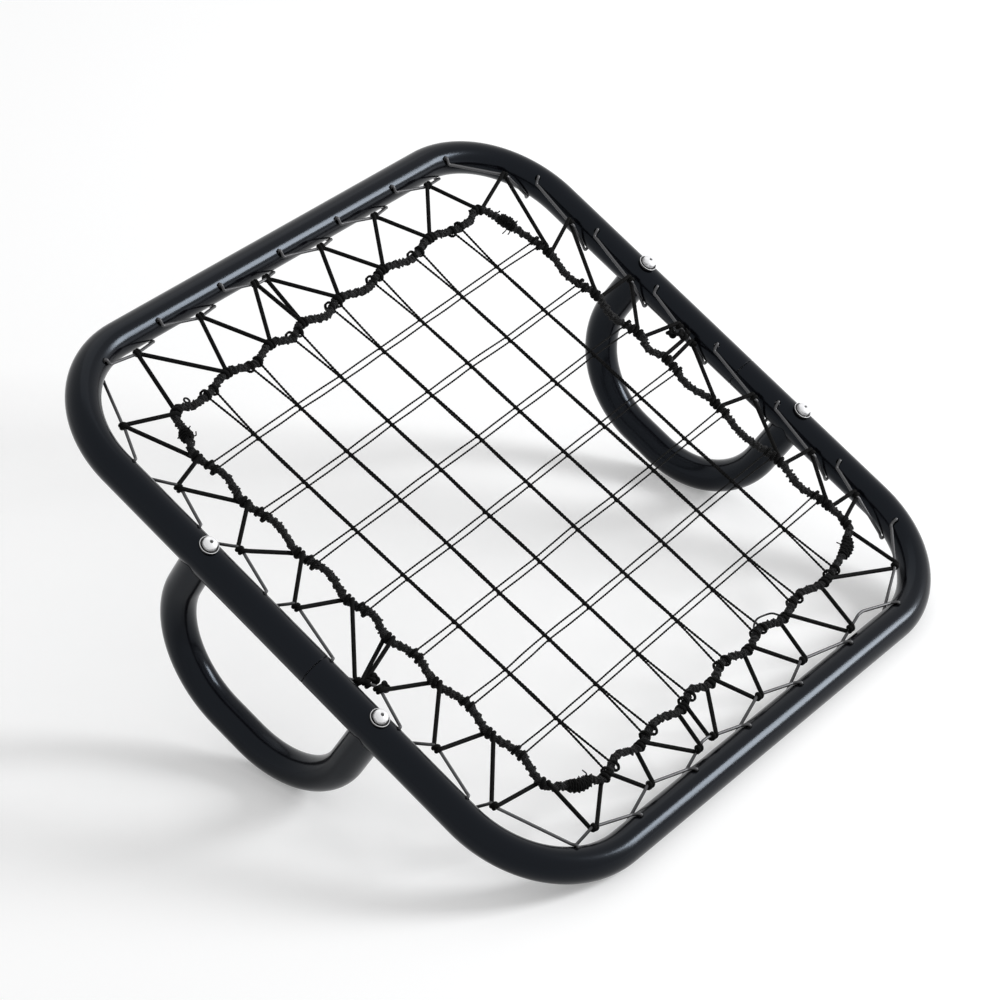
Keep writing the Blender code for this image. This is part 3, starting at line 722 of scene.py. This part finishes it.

# %% [markdown]
# ## Bolts and washers
#
# Each bolt is a domed M8 head on a cupped washer. A turned profile gives both. The head
# is smooth with a small mark pressed into the middle of its dome. How far each point lies
# from the axis is kept, so that this mark and the washer's recess and outer edge can be
# painted dark, as shade.

# %% Turn a profile
def turned(name, profile, matrix, sides=56):
    """A body turned about Z from the (radius, height) points of its outline."""
    bm = bmesh.new()
    rings = []
    for radius, height in profile:
        if radius == 0:
            rings.append([bm.verts.new((0, 0, height))])
        else:
            rings.append([bm.verts.new((radius * math.cos(a), radius * math.sin(a), height))
                          for a in (2 * math.pi * k / sides for k in range(sides))])
    for one, two in zip(rings, rings[1:]):
        bridge(bm, one, two)
    mesh = mesh_from(bm, name, Matrix())
    reach = mesh.attributes.new("reach", "FLOAT", "POINT")
    reach.data.foreach_set("value", [math.hypot(v.co.x, v.co.y) for v in mesh.vertices])
    mesh.transform(STAND @ matrix)
    item = place_object(name, mesh)
    smooth_edges(item)
    return item


# %% Draw the profiles of a bolt and its washer
HEAD_RADIUS = 0.0062
HEAD_HEIGHT = 0.006
HEAD_EDGE = 0.003
HEAD_CHAMFER = 0.0003
DOME_END = math.radians(73)
MARK_BELOW_TOP = ((0.0016, 0.0003), (MARK_RADIUS, 0.0014), (0, 0.0016))
BOLT_RADIUS = 0.004
BOLT_LENGTH = 0.060
TIP_CHAMFER = 0.0006
WASHER_THICKNESS = 0.0018
WASHER_RECESS = 0.0008
FOOT_CHAMFER = 0.0002
RIM_CHAMFER = 0.0003
RIM_INSET = 0.0005
washer_foot = TUBE_RADIUS + SEAT_GAP + WASHER_RADIUS * LEG_RAKE / LEG_DEPTH
head_foot = washer_foot + WASHER_THICKNESS - WASHER_RECESS + SEAT_GAP
dome = [(HEAD_RADIUS * math.cos(a), HEAD_EDGE + (HEAD_HEIGHT - HEAD_EDGE) * math.sin(a))
        for a in np.linspace(0, DOME_END, 14)]
head_profile = [(0, -BOLT_LENGTH), (BOLT_RADIUS - TIP_CHAMFER, -BOLT_LENGTH),
                (BOLT_RADIUS, -BOLT_LENGTH + TIP_CHAMFER), (BOLT_RADIUS, 0),
                (HEAD_RADIUS - HEAD_CHAMFER, 0), (HEAD_RADIUS, HEAD_CHAMFER)] + dome
head_profile += [(radius, HEAD_HEIGHT - depth) for radius, depth in MARK_BELOW_TOP]
recess = WASHER_THICKNESS - WASHER_RECESS
washer_edge = [(FOOT_CHAMFER, 0.0), (0.0, FOOT_CHAMFER), (0.0, WASHER_THICKNESS - RIM_CHAMFER),
               (RIM_CHAMFER, WASHER_THICKNESS), (RIM_INSET, WASHER_THICKNESS), (RECESS_INSET, recess)]
washer_profile = [(WASHER_RADIUS - inset, height) for inset, height in washer_edge]
washer_profile = [(BOLT_HOLE_RADIUS, 0.0), *washer_profile,
                  (BOLT_HOLE_RADIUS, recess), (BOLT_HOLE_RADIUS, 0.0)]
print("profile points:", len(head_profile), "and", len(washer_profile))

# %% Set the bolts and washers on the rails
HARDWARE = (("bolt", head_profile, head_foot, zinc_head, "leg_bolt"),
            ("washer", washer_profile, washer_foot, zinc_cup, "cup_washer"))
for label, side in SIDES.items():
    for level, end in ENDS.items():
        axis = bolt_axis(side)
        middle = Vector((side * FRAME_HALF, end * BOLT_SPAN_HALF, 0))
        turn = axis.to_track_quat("Z", "Y").to_matrix().to_4x4()
        for kind, profile, foot, material, node in HARDWARE:
            matrix = Matrix.Translation(middle + axis * foot) @ turn
            item = turned(f"{kind}_{label}_{level}", profile, matrix)
            finish_piece(item, material, "zinc", f"{node}_{label}_{level}")

# %% [markdown]
# ## Inner pieces
#
# The sleeves and the threaded plugs are hidden inside the tubes. Their CAD shapes are
# right, so they stay and only take a procedural steel.

# %% Finish the hidden pieces
for name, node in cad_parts.items():
    if name.startswith(("joint_sleeve", "leg_plug")):
        node.data.materials.clear()
        node.data.materials.append(steel)
        print("finished", name)

# %% [markdown]
# ## The anchor wire
#
# One stiff zinc-coated wire runs all round the frame. At each hole it comes up from behind,
# hooks over the front shoulder of the tube and runs straight on to a bend, the eye, that
# holds the lacing. Then it passes behind the tube to the next hole.
#
# Straight runs need points close to both of their ends, or the smooth line would bow.

# %% Place the wire's bends
WIRE_RADIUS = 0.0012
WIRE_STANDOFF = 0.0006
WIRE_BENDS = {
    "top": (-2.67, -1.64, -0.62, 0.40, 1.355, 2.335, 3.77),
    "right": (-2.245, -1.265, -0.36, 0.80, 1.74, 2.45, 3.805),
    "bottom": (-2.205, -1.03, -0.17, 0.85, 1.86, 2.88, 4.44),
    "left": (-1.885, -1.02, 0.205, 1.06, 2.00, 3.03)}
LONGEST_LEAD = 0.3
bends = distances_along(WIRE_BENDS, HOLE_PITCH, SIDE_LENGTH)
print("wire bends:", len(bends))


def shoulder(degrees):
    """How far inset and how far in front the wire lies where it rides over the tube."""
    radius = TUBE_RADIUS + WIRE_RADIUS + WIRE_STANDOFF
    return radius * math.cos(math.radians(degrees)), radius * math.sin(math.radians(degrees))


def place_between(stations, distance, around):
    """What stations along a closed way give at a distance between two of them."""
    places, *columns = zip(*stations)
    return [float(np.interp(distance, places, column, period=around)) for column in columns]


def straight_run(start, end, lead):
    """Points that keep a smooth line straight between two places."""
    span = end - start
    step = span * min(LONGEST_LEAD, lead / span.length)
    return [start, start + step, end - step, end]


# %% Bend the wire
WIRE_FULLNESS = 1.15
WIRE_REACH = 0.024
WIRE_BEND_HALF = 0.004
WIRE_LEAD = 0.0025
RUN_LEAD = 0.004
FRONT_SHOULDER = 34
BACK_SHOULDER = -29
HOLE_TURN = 0.001
NET_HEIGHT = 0.010
wire_stations = []
wire_line = []
for hole, bend, next_hole in zip(holes, bends, holes[1:] + [holes[0] + AROUND]):
    spans = [(hole + WIRE_LEAD, *shoulder(FRONT_SHOULDER)),
             (bend - WIRE_BEND_HALF, WIRE_REACH, NET_HEIGHT),
             (bend + WIRE_BEND_HALF, WIRE_REACH, NET_HEIGHT),
             (next_hole - WIRE_LEAD, *shoulder(BACK_SHOULDER))]
    wire_stations += spans
    hook, bend_in, bend_out, back = [frame_tube_place(*station) for station in spans]
    wire_line += [frame_tube_place(hole, WIRE_HOLE_OFFSET, -TUBE_RADIUS),
                  frame_tube_place(hole, WIRE_HOLE_OFFSET, TUBE_RADIUS - HOLE_TURN)]
    wire_line += straight_run(hook, bend_in, RUN_LEAD) + straight_run(bend_out, back, RUN_LEAD)
wire_path = spline_through(wire_line, 0.0015, closed=True)
print("anchor wire length", round(lengths_along(wire_path, True)[1], 3))
sweep = Sweep()
sweep.add(wire_path, WIRE_RADIUS * WIRE_FULLNESS, 12, closed=True)
finish_piece(sweep.piece("anchor_wire_line"), wire_skin, "coated_wire", "anchor_wire")

# %% [markdown]
# ## The border rope
#
# The net's edge is a soft rope of three twisted strands. Each strand is swept along a
# helix round the rope's line, so the lay shows as real relief. The lacing pulls the rope
# outwards at each turn and lets it sag between, and the whole net hangs a little low and
# a little turned in the frame.

# %% Lay out the rope
LACING_WIDTH = 0.0735
ROPE_HALF = FRAME_HALF - LACING_WIDTH
ROPE_RADIUS = 0.0035
ROPE_CORNER = 0.030
ROPE_SCALLOP = 0.007
ROPE_CREST_HALF = 0.004
ROPE_CREST_SPACING = 0.012
ROPE_SIDE = 2 * (ROPE_HALF - ROPE_CORNER) + ROPE_CORNER * math.pi / 2
ROPE_AROUND = 4 * ROPE_SIDE
NET_DROP = 0.0078
NET_SHIFT = 0.001
NET_TURN = math.radians(2.3)
MESHES_PER_SIDE = 8
NET_PITCH = 2 * (ROPE_HALF + ROPE_SCALLOP / 2) / MESHES_PER_SIDE
NET_PLACE = Matrix.Translation((NET_SHIFT, -NET_DROP, 0)) @ Matrix.Rotation(NET_TURN, 4, "Z")
LACING_EYES = {
    "upper": {
        "left": (-0.89, -0.80, 0.205, 1.06, 2.00, 3.03),
        "top": (-2.67, -1.64, -0.72, -0.50, 0.40, 1.355, 2.335),
        "right": (-3.43, -2.245, -1.24, -0.425)},
    "lower": {
        "right": (-0.31, -0.187, 0.80, 1.74, 2.45),
        "bottom": (-3.395, -2.00, -1.03, -0.17, 0.72, 0.97, 1.86, 2.88),
        "left": (-2.76, -1.885, -1.02)}}
LACING_TURNS = {
    "upper": {
        "left": (-0.56, 0.24, 1.22, 2.30, 3.27),
        "top": (-3.67, -2.49, -1.48, -0.71, 0.18, 1.27, 2.45, 3.63),
        "right": (-2.78, -1.74, -0.82)},
    "lower": {
        "right": (-0.21, 0.82, 2.18, 3.18, 3.57),
        "bottom": (-2.73, -1.565, -0.56, 0.45, 1.22, 2.30, 3.18),
        "left": (-3.53, -2.52, -1.48)}}
lacing_turns = {label: distances_along(rows, NET_PITCH, ROPE_SIDE) for label, rows in LACING_TURNS.items()}
lacing_eyes = {label: distances_along(rows, HOLE_PITCH, SIDE_LENGTH) for label, rows in LACING_EYES.items()}


def rope_place(distance, outset, height):
    point, inward = square_place(distance, ROPE_HALF, ROPE_CORNER)
    return NET_PLACE @ (point - inward * outset + FRONT * height)


# %% Pull it into scallops
all_turns = sorted(turn % ROPE_AROUND for turns in lacing_turns.values() for turn in turns)
following_turns = all_turns[1:] + [all_turns[0] + ROPE_AROUND]
slack = [(turn + after) / 2 % ROPE_AROUND for turn, after in zip(all_turns, following_turns)]
arc = ROPE_CORNER * math.pi / 4
for corner in range(4):
    middle = (corner + 0.5) * ROPE_SIDE
    slack = [distance for distance in slack if abs(distance - middle) > 1.5 * arc]
    slack += [middle + arc * step / 4 for step in range(-4, 5)]
rope_stations = []
for turn in all_turns:
    rope_stations += [(turn - ROPE_CREST_HALF, ROPE_SCALLOP), (turn + ROPE_CREST_HALF, ROPE_SCALLOP)]
for distance in slack:
    if min(abs(distance - turn) for turn in all_turns) > ROPE_CREST_SPACING:
        rope_stations.append((distance, 0.0))
rope_stations.sort()
rope_points = [rope_place(distance, outset, NET_HEIGHT) for distance, outset in rope_stations]
rope_line = spline_through(rope_points, 0.0012, closed=True)
print("border rope length", round(lengths_along(rope_line, True)[1], 3))


# %% Twist its strands
def wound(path, closed, angle, reach):
    """A line that winds round the path, at an angle and a distance for each of its points."""
    across, other = frames_along(path, closed)
    reach = np.broadcast_to(reach, angle.shape)
    return path + (across * np.cos(angle)[:, None] + other * np.sin(angle)[:, None]) * reach[:, None]


def twisted(path, closed, strands, radius, pitch):
    """Paths of strands laid round a line, for a rope of that outer radius."""
    strand_radius = radius / (1 + 1 / math.sin(math.pi / strands))
    run, total = lengths_along(path, closed)
    twists = max(1, round(total / pitch)) / total if closed else 1 / pitch
    lines = []
    for strand in range(strands):
        angle = 2 * math.pi * (run * twists + strand / strands)
        lines.append(wound(path, closed, angle, radius - strand_radius))
    return lines, strand_radius


ROPE_FULLNESS = 0.88
ROPE_LAY = 0.013
STRAND_FULLNESS = 1.08
sweep = Sweep()
strands, strand_radius = twisted(rope_line, True, 3, ROPE_RADIUS * ROPE_FULLNESS, ROPE_LAY)
for strand in strands:
    sweep.add(strand, strand_radius * STRAND_FULLNESS, 12, closed=True)


# %% Plait two loose yarns over them, one each way round
YARN_RADIUS = 0.0010
YARN_DEPTH = 0.0008
YARN_SLACK = 0.0011
YARN_PITCH = 0.0065
random.seed(5)
run, total = lengths_along(rope_line, True)
turns = round(total / YARN_PITCH)
for hand in (-1, 1):
    pace = np.cumsum([random.uniform(0.5, 1.5) for _ in range(turns + 1)])
    pace = (pace - pace[0]) / (pace[-1] - pace[0]) * total
    angle = hand * 2 * math.pi * np.interp(run, pace, np.arange(turns + 1))
    looseness = np.interp(run, pace, [random.uniform(0, YARN_SLACK) for _ in range(turns + 1)])
    yarn = wound(rope_line, True, angle, ROPE_RADIUS - YARN_DEPTH + looseness)
    sweep.add(yarn, YARN_RADIUS, 8, closed=True)

# %% Leave one yarn end and one small loop loose
TAIL_RADIUS = 0.0009
TAIL_LIFT = 0.002
LOOSE_TAIL = ((0.050, -0.2270), (0.057, -0.2215), (0.065, -0.2190),
              (0.074, -0.2205), (0.083, -0.2240), (0.087, -0.2290))
LOOP_CENTRE = Vector((-0.1965, 0.2326, NET_HEIGHT))
LOOP_RADIUS = 0.0026
LOOP_LIFT = 0.001
tail = [NET_PLACE @ Vector((x, y, NET_HEIGHT + TAIL_LIFT)) for x, y in LOOSE_TAIL]
sweep.add(spline_through(tail, 0.001), TAIL_RADIUS, 8)
loop = []
for angle in np.linspace(0, 2 * math.pi, 24, False):
    across = Vector((math.cos(angle), math.sin(angle), 0)) * LOOP_RADIUS
    loop.append(NET_PLACE @ (LOOP_CENTRE + across + FRONT * (LOOP_LIFT * math.sin(angle / 2))))
sweep.add(as_array(loop), TAIL_RADIUS, 8, closed=True)
finish_piece(sweep.piece("border_rope_strands"), rope_yarn, "rope", "border_rope")

# %% [markdown]
# ## The elastic lacing
#
# Two lengths of elastic cord zigzag between the wire's eyes and the rope. The cord runs
# straight under tension. It passes over the front of what holds it, winds round it one and
# a half times and leaves at the back.

# %% Wind the cord round the wire and the rope
CORD_RADIUS = 0.0019
EYE_SQUEEZE = 0.0011
ROPE_SQUEEZE = 0.0020
WRAP_TURNS = 1.5
WRAP_STEPS = 9
EYE_ADVANCE = 0.0052
ROPE_ADVANCE = 0.0062
CORD_LEAD = 0.006


def wrap(radius, advance):
    """How far along, away from the cord's run and forwards its turns lie, front to back."""
    for step in range(WRAP_STEPS + 1):
        share = step / WRAP_STEPS
        angle = math.pi / 2 + 2 * math.pi * WRAP_TURNS * share
        yield advance * (share - 0.5), -math.cos(angle) * radius, math.sin(angle) * radius


def eye_wrap(eye):
    inset, height = place_between(wire_stations, eye, AROUND)
    return [frame_tube_place(eye + along, inset - away, height + forwards)
            for along, away, forwards in wrap(WIRE_RADIUS + CORD_RADIUS - EYE_SQUEEZE, EYE_ADVANCE)]


def rope_wrap(turn):
    return [rope_place(turn + along, ROPE_SCALLOP - away, NET_HEIGHT + forwards)
            for along, away, forwards in wrap(ROPE_RADIUS + CORD_RADIUS - ROPE_SQUEEZE, ROPE_ADVANCE)]


def laced(label):
    """The cord's line: wraps joined by straight runs."""
    eyes = lacing_eyes[label]
    points = eye_wrap(eyes[0])
    for turn, eye in zip(lacing_turns[label], eyes[1:]):
        for winding in (rope_wrap(turn), eye_wrap(eye)):
            points += straight_run(points[-1], winding[0], CORD_LEAD)[1:3] + winding
    return points


# %% Lace the upper and the lower half
for label in LACING_EYES:
    path = spline_through(laced(label), 0.0015)
    sweep = Sweep()
    sweep.add(path, CORD_RADIUS, 12)
    finish_piece(sweep.piece(f"lacing_{label}_cord"), elastic, "elastic_cord", f"lacing_{label}")
    print("lacing", label, "length", round(lengths_along(path, False)[1], 3))

# %% [markdown]
# ## Knots
#
# Both ends of each cord are tied off in a tight knot. A trefoil line, swept a little
# thinner than the cord, makes a knot that really passes over and under itself.

# %% Tie the end knots
KNOT_RADIUS = 0.0055
KNOT_SCALE = 0.0013
KNOT_FULLNESS = 0.92
CAD_CORD_RADIUS = 0.0021
CAD_TURN_EASE = 0.0006
CAD_END_INSET = WIRE_REACH - 0.002
CAD_END_HEIGHT = 0.0039


def trefoil(steps, depth=1.0):
    """A closed line knotted once, about three units out from its middle."""
    t = np.linspace(0, 2 * math.pi, steps, endpoint=False)
    x = np.sin(t) + 2 * np.sin(2 * t)
    y = np.cos(t) - 2 * np.cos(2 * t)
    return np.stack([x, y, -depth * np.sin(3 * t)], -1)


cad_turn = WIRE_RADIUS + CAD_CORD_RADIUS + CAD_TURN_EASE
for label in LACING_EYES:
    for end, index, level in (("start", 0, 1), ("end", -1, -1)):
        eye = lacing_eyes[label][index]
        inset, height = place_between(wire_stations, eye, AROUND)
        tip = frame_tube_place(eye, inset + cad_turn, height + cad_turn * level)
        beside = frame_tube_place(eye, CAD_END_INSET, NET_HEIGHT + level * CAD_END_HEIGHT)
        centre = tip + (tip - beside).normalized() * KNOT_RADIUS
        knot = Sweep()
        line = np.array(tuple(centre)) + trefoil(90) * KNOT_SCALE
        knot.add(line, CORD_RADIUS * KNOT_FULLNESS, 14, closed=True)
        item = knot.piece(f"knot_{label}_{end}")
        finish_piece(item, elastic, "elastic_cord", f"lacing_knot_{label}_{end}")

# %% [markdown]
# ## Whipping at the corners
#
# At each corner of the net thin twine is wound tightly round the rope. One line that
# spirals along the rope makes the turns.

# %% Find the rope's run at each corner
corner_runs = {}
for corner, label in enumerate(("top_right", "bottom_right", "bottom_left", "top_left")):
    middle = (corner + 0.5) * ROPE_SIDE
    runs = [[]]
    for distance, outset in rope_stations:
        if outset == 0 and abs(distance - middle) < arc + SEAT_GAP:
            runs[-1].append(distance)
        elif runs[-1]:
            runs.append([])
    corner_runs[label] = max(runs, key=len)
    print(label, len(corner_runs[label]), "points")

# %% Wind the whippings
WHIPPING_INSET = 0.001
WHIPPING_STEP = 0.0021
WHIPPING_STANDOFF = 0.0008
WHIPPING_BULGE = 0.0010
WHIPPING_RADIUS = 0.0012
FRAYED_ENDS = 9
FRAY_RADIUS = 0.0006
FRAY_REACH = (0.003, 0.008)
FRAY_DROOP = 0.002
random.seed(11)
for label, run in corner_runs.items():
    spots = np.linspace(run[0] + WHIPPING_INSET, run[-1] - WHIPPING_INSET, 9)
    core = spline_through([rope_place(d, 0.0, NET_HEIGHT) for d in spots], 0.0004)
    length, total = lengths_along(core, False)
    bulge = ROPE_RADIUS + WHIPPING_STANDOFF + WHIPPING_BULGE * np.sin(math.pi * length / total)
    sweep = Sweep()
    sweep.add(wound(core, False, 2 * math.pi * length / WHIPPING_STEP, bulge), WHIPPING_RADIUS, 8)
    for _ in range(FRAYED_ENDS):
        way = np.array([random.gauss(0, 1) for _ in range(3)])
        way /= np.linalg.norm(way)
        root = core[random.randrange(len(core))] + way * ROPE_RADIUS
        droop = np.array([random.uniform(-FRAY_DROOP, FRAY_DROOP) for _ in range(3)])
        tip = root + way * random.uniform(*FRAY_REACH)
        sweep.add(spline_through([root, (root + tip) / 2 + droop, tip], 0.001), FRAY_RADIUS, 6)
    finish_piece(sweep.piece(f"whipping_{label}"), twine, "twine", f"corner_lashing_{label}")

# %% [markdown]
# ## The net
#
# Seven doubled lines run each way and are knotted where they cross. Every strand is a
# two-ply twine, so each is swept twice, round a fine helix. The doubled lines that run
# up the net lie side by side and part in a V at the rope. Those that run across it stay
# apart all the way, so each crossing has two small knots.

# %% Place the crossings
CROSSING_STRAY = 0.0008
random.seed(7)
lines = range(-(MESHES_PER_SIDE // 2) + 1, MESHES_PER_SIDE // 2)
crossings = {(column, row): (column * NET_PITCH + random.uniform(-CROSSING_STRAY, CROSSING_STRAY),
                             row * NET_PITCH + random.uniform(-CROSSING_STRAY, CROSSING_STRAY))
             for column in lines for row in lines}
print("crossings:", len(crossings))


# %% Run the strands from rope to rope
PAIR_HALVES = (0.0027, 0.0007)
OPENINGS = (0.0004, 0.0005)
LOOP_HALVES = (0.0034, 0.0055)
LAYER_HEIGHTS = (NET_HEIGHT - 0.0007, NET_HEIGHT + 0.0007)
ROPE_SIDES = {(0, 1): ("right", -1), (1, 1): ("top", 1), (0, -1): ("left", 1), (1, -1): ("bottom", -1)}


def rope_edge(direction, line, end):
    """How far out the rope's middle lies where a line of the net meets it."""
    side, way = ROPE_SIDES[direction, end]
    distance = QUARTER_TURNS[side] * ROPE_SIDE + way * line * NET_PITCH
    return ROPE_HALF + place_between(rope_stations, distance, ROPE_AROUND)[0]


def net_point(direction, along, across, height):
    x, y = (along, across) if direction == 0 else (across, along)
    return NET_PLACE @ Vector((x, y, height))


def net_strand(direction, line, sign):
    """One of the two strands of a line, from rope to rope."""
    half = PAIR_HALVES[direction]
    loop_place = line * NET_PITCH + sign * LOOP_HALVES[direction]
    points = []
    for k in lines:
        crossing = crossings[(k, line) if direction == 0 else (line, k)]
        along, across = crossing if direction == 0 else crossing[::-1]
        if points:
            middle = (points[-1][0] + along) / 2
            opening = OPENINGS[direction] * random.uniform(0, 1)
            points.append((middle, (points[-1][1] + across + sign * half) / 2 + sign * opening))
        points.append((along, across + sign * half))
    ends = [(end * rope_edge(direction, line, end), loop_place) for end in (-1, 1)]
    points = [ends[0], *points, ends[1]]
    return [net_point(direction, along, across, LAYER_HEIGHTS[direction]) for along, across in points]


# %% Sweep two plies along each strand
STRAND_RADII = (0.0008, 0.00100)
PLY_LAY = 0.006
PLY_FULLNESS = 1.4
net = Sweep()
twine_length = 0.0
for direction, line, sign in product(range(2), lines, (-1, 1)):
    path = spline_through(net_strand(direction, line, sign), 0.0012)
    twine_length += lengths_along(path, False)[1]
    plies, ply_radius = twisted(path, False, 2, STRAND_RADII[direction], PLY_LAY)
    for ply in plies:
        net.add(ply, ply_radius * PLY_FULLNESS, 6)
print("net twine, knots and hitches apart", round(twine_length, 2))

# %% Tie two knots at each crossing
CROSSING_KNOT_SCALE = 0.00052
CROSSING_KNOT_DEPTH = 1.2
for (column, row), (x, y) in crossings.items():
    for sign in (-1, 1):
        turn = random.uniform(0, math.pi)
        cos, sin = math.cos(turn), math.sin(turn)
        spin = np.array([[cos, -sin, 0], [sin, cos, 0], [0, 0, 1]])
        centre = np.array(tuple(NET_PLACE @ Vector((x, y + sign * PAIR_HALVES[0], NET_HEIGHT))))
        knot = trefoil(24, CROSSING_KNOT_DEPTH) @ spin.T
        net.add(centre + knot * CROSSING_KNOT_SCALE, STRAND_RADII[0], 6, closed=True)
print("faces with knots:", len(net.faces))

# %% Hitch each end round the rope
HITCH_STANDOFF = 0.001
HITCH_TURNS = 2
HITCH_STEP = 0.0012
radius = ROPE_RADIUS + HITCH_STANDOFF
for direction, line, end, sign in product(range(2), lines, (-1, 1), (-1, 1)):
    edge = end * rope_edge(direction, line, end)
    spot = line * NET_PITCH + sign * LOOP_HALVES[direction]
    hitch = []
    for share in np.linspace(0, 1, 30):
        angle = 2 * math.pi * HITCH_TURNS * share
        slide = sign * HITCH_STEP * HITCH_TURNS * (share - 0.5)
        hitch.append(net_point(direction, edge + math.cos(angle) * radius, spot + slide,
                               NET_HEIGHT + math.sin(angle) * radius))
    net.add(as_array(hitch), STRAND_RADII[direction], 6)
finish_piece(net.piece("net_twine"), twine, "twine", "net")

# %% [markdown]
# ## Floor, light and camera
#
# The object stands on plain white. The floor is a pale sheet that keeps the soft shadow.
# To the camera, and in anything glossy or clear, it glows a little and the world is white,
# so the background reaches white with lamps at a plain level. One soft panel to the right
# gives the highlights along the tube.

# %% Pick out the rays that see the background
def background_rays(tree):
    """1 for rays from the camera and for those that a glossy or clear surface sends on."""
    rays = add_node(tree, "ShaderNodeLightPath")
    sent_on = math_node(tree, "MAXIMUM", rays.outputs["Is Glossy Ray"], rays.outputs["Is Transmission Ray"])
    return math_node(tree, "MAXIMUM", rays.outputs["Is Camera Ray"], sent_on)


# %% Lay the floor
FLOOR_HALF = 6
FLOOR_GLOW = 0.24
floor_corners = [(x * FLOOR_HALF, y * FLOOR_HALF, 0) for x, y in ((-1, -1), (1, -1), (1, 1), (-1, 1))]
floor_mesh = bpy.data.meshes.new("floor")
floor_mesh.from_pydata(floor_corners, [], [(0, 1, 2, 3)])
floor = place_object("floor", floor_mesh)
floor_white, tree, shader = new_material("white_floor", (0.8, 0.8, 0.8), 0.9, specular=0.1)
shader.inputs["Emission Color"].default_value = (1, 1, 1, 1)
lift = times(tree, background_rays(tree), FLOOR_GLOW)
tree.links.new(lift, shader.inputs["Emission Strength"])
floor_mesh.materials.append(floor_white)
print("floor", floor.name)


# %% Hang the lamps
def soft_panel(name, place, target, size, watts, tint):
    light = bpy.data.lights.new(name, "AREA")
    light.shape = "RECTANGLE"
    light.color = tint
    light.size, light.size_y = size
    light.energy = watts
    lamp = place_object(name, light)
    lamp.location = place
    aim = Vector(target) - Vector(place)
    lamp.rotation_euler = aim.to_track_quat("-Z", "Y").to_euler()
    print("lamp", name, watts, "W")


soft_panel("right_panel", (2.5, -2.3, 1.7), (0, 0, 0.15), (1.0, 1.5), 125, (0.98, 0.99, 1.0))
soft_panel("top_panel", (0.9, 0.9, 2.2), (0, 0, 0.1), (1.6, 1.6), 4, (1.0, 1.0, 1.0))

# %% Light the world
WORLD_LEVEL = 0.60
world = bpy.data.worlds.new("studio")
world.use_nodes = True
bpy.context.scene.world = world
tree = world.node_tree
sky = tree.nodes["Background"]
sky.inputs["Color"].default_value = (1, 1, 1, 1)
tree.links.new(spread(tree, background_rays(tree), 0.0, 1.0, To_Min=WORLD_LEVEL), sky.inputs["Strength"])
print("world", WORLD_LEVEL)

# %% Set the camera
camera_data = bpy.data.cameras.new("camera")
camera_data.sensor_width = 36
camera_data.sensor_fit = "HORIZONTAL"
camera_data.lens = 126.59
camera = place_object("camera", camera_data)
camera.location = (-2.03256, -1.50435, 1.78248)
camera.rotation_euler = (0.992357, -0.024581, -0.912570)
bpy.context.scene.camera = camera
bpy.context.scene.view_settings.view_transform = "Standard"
print("camera at", tuple(camera.location))
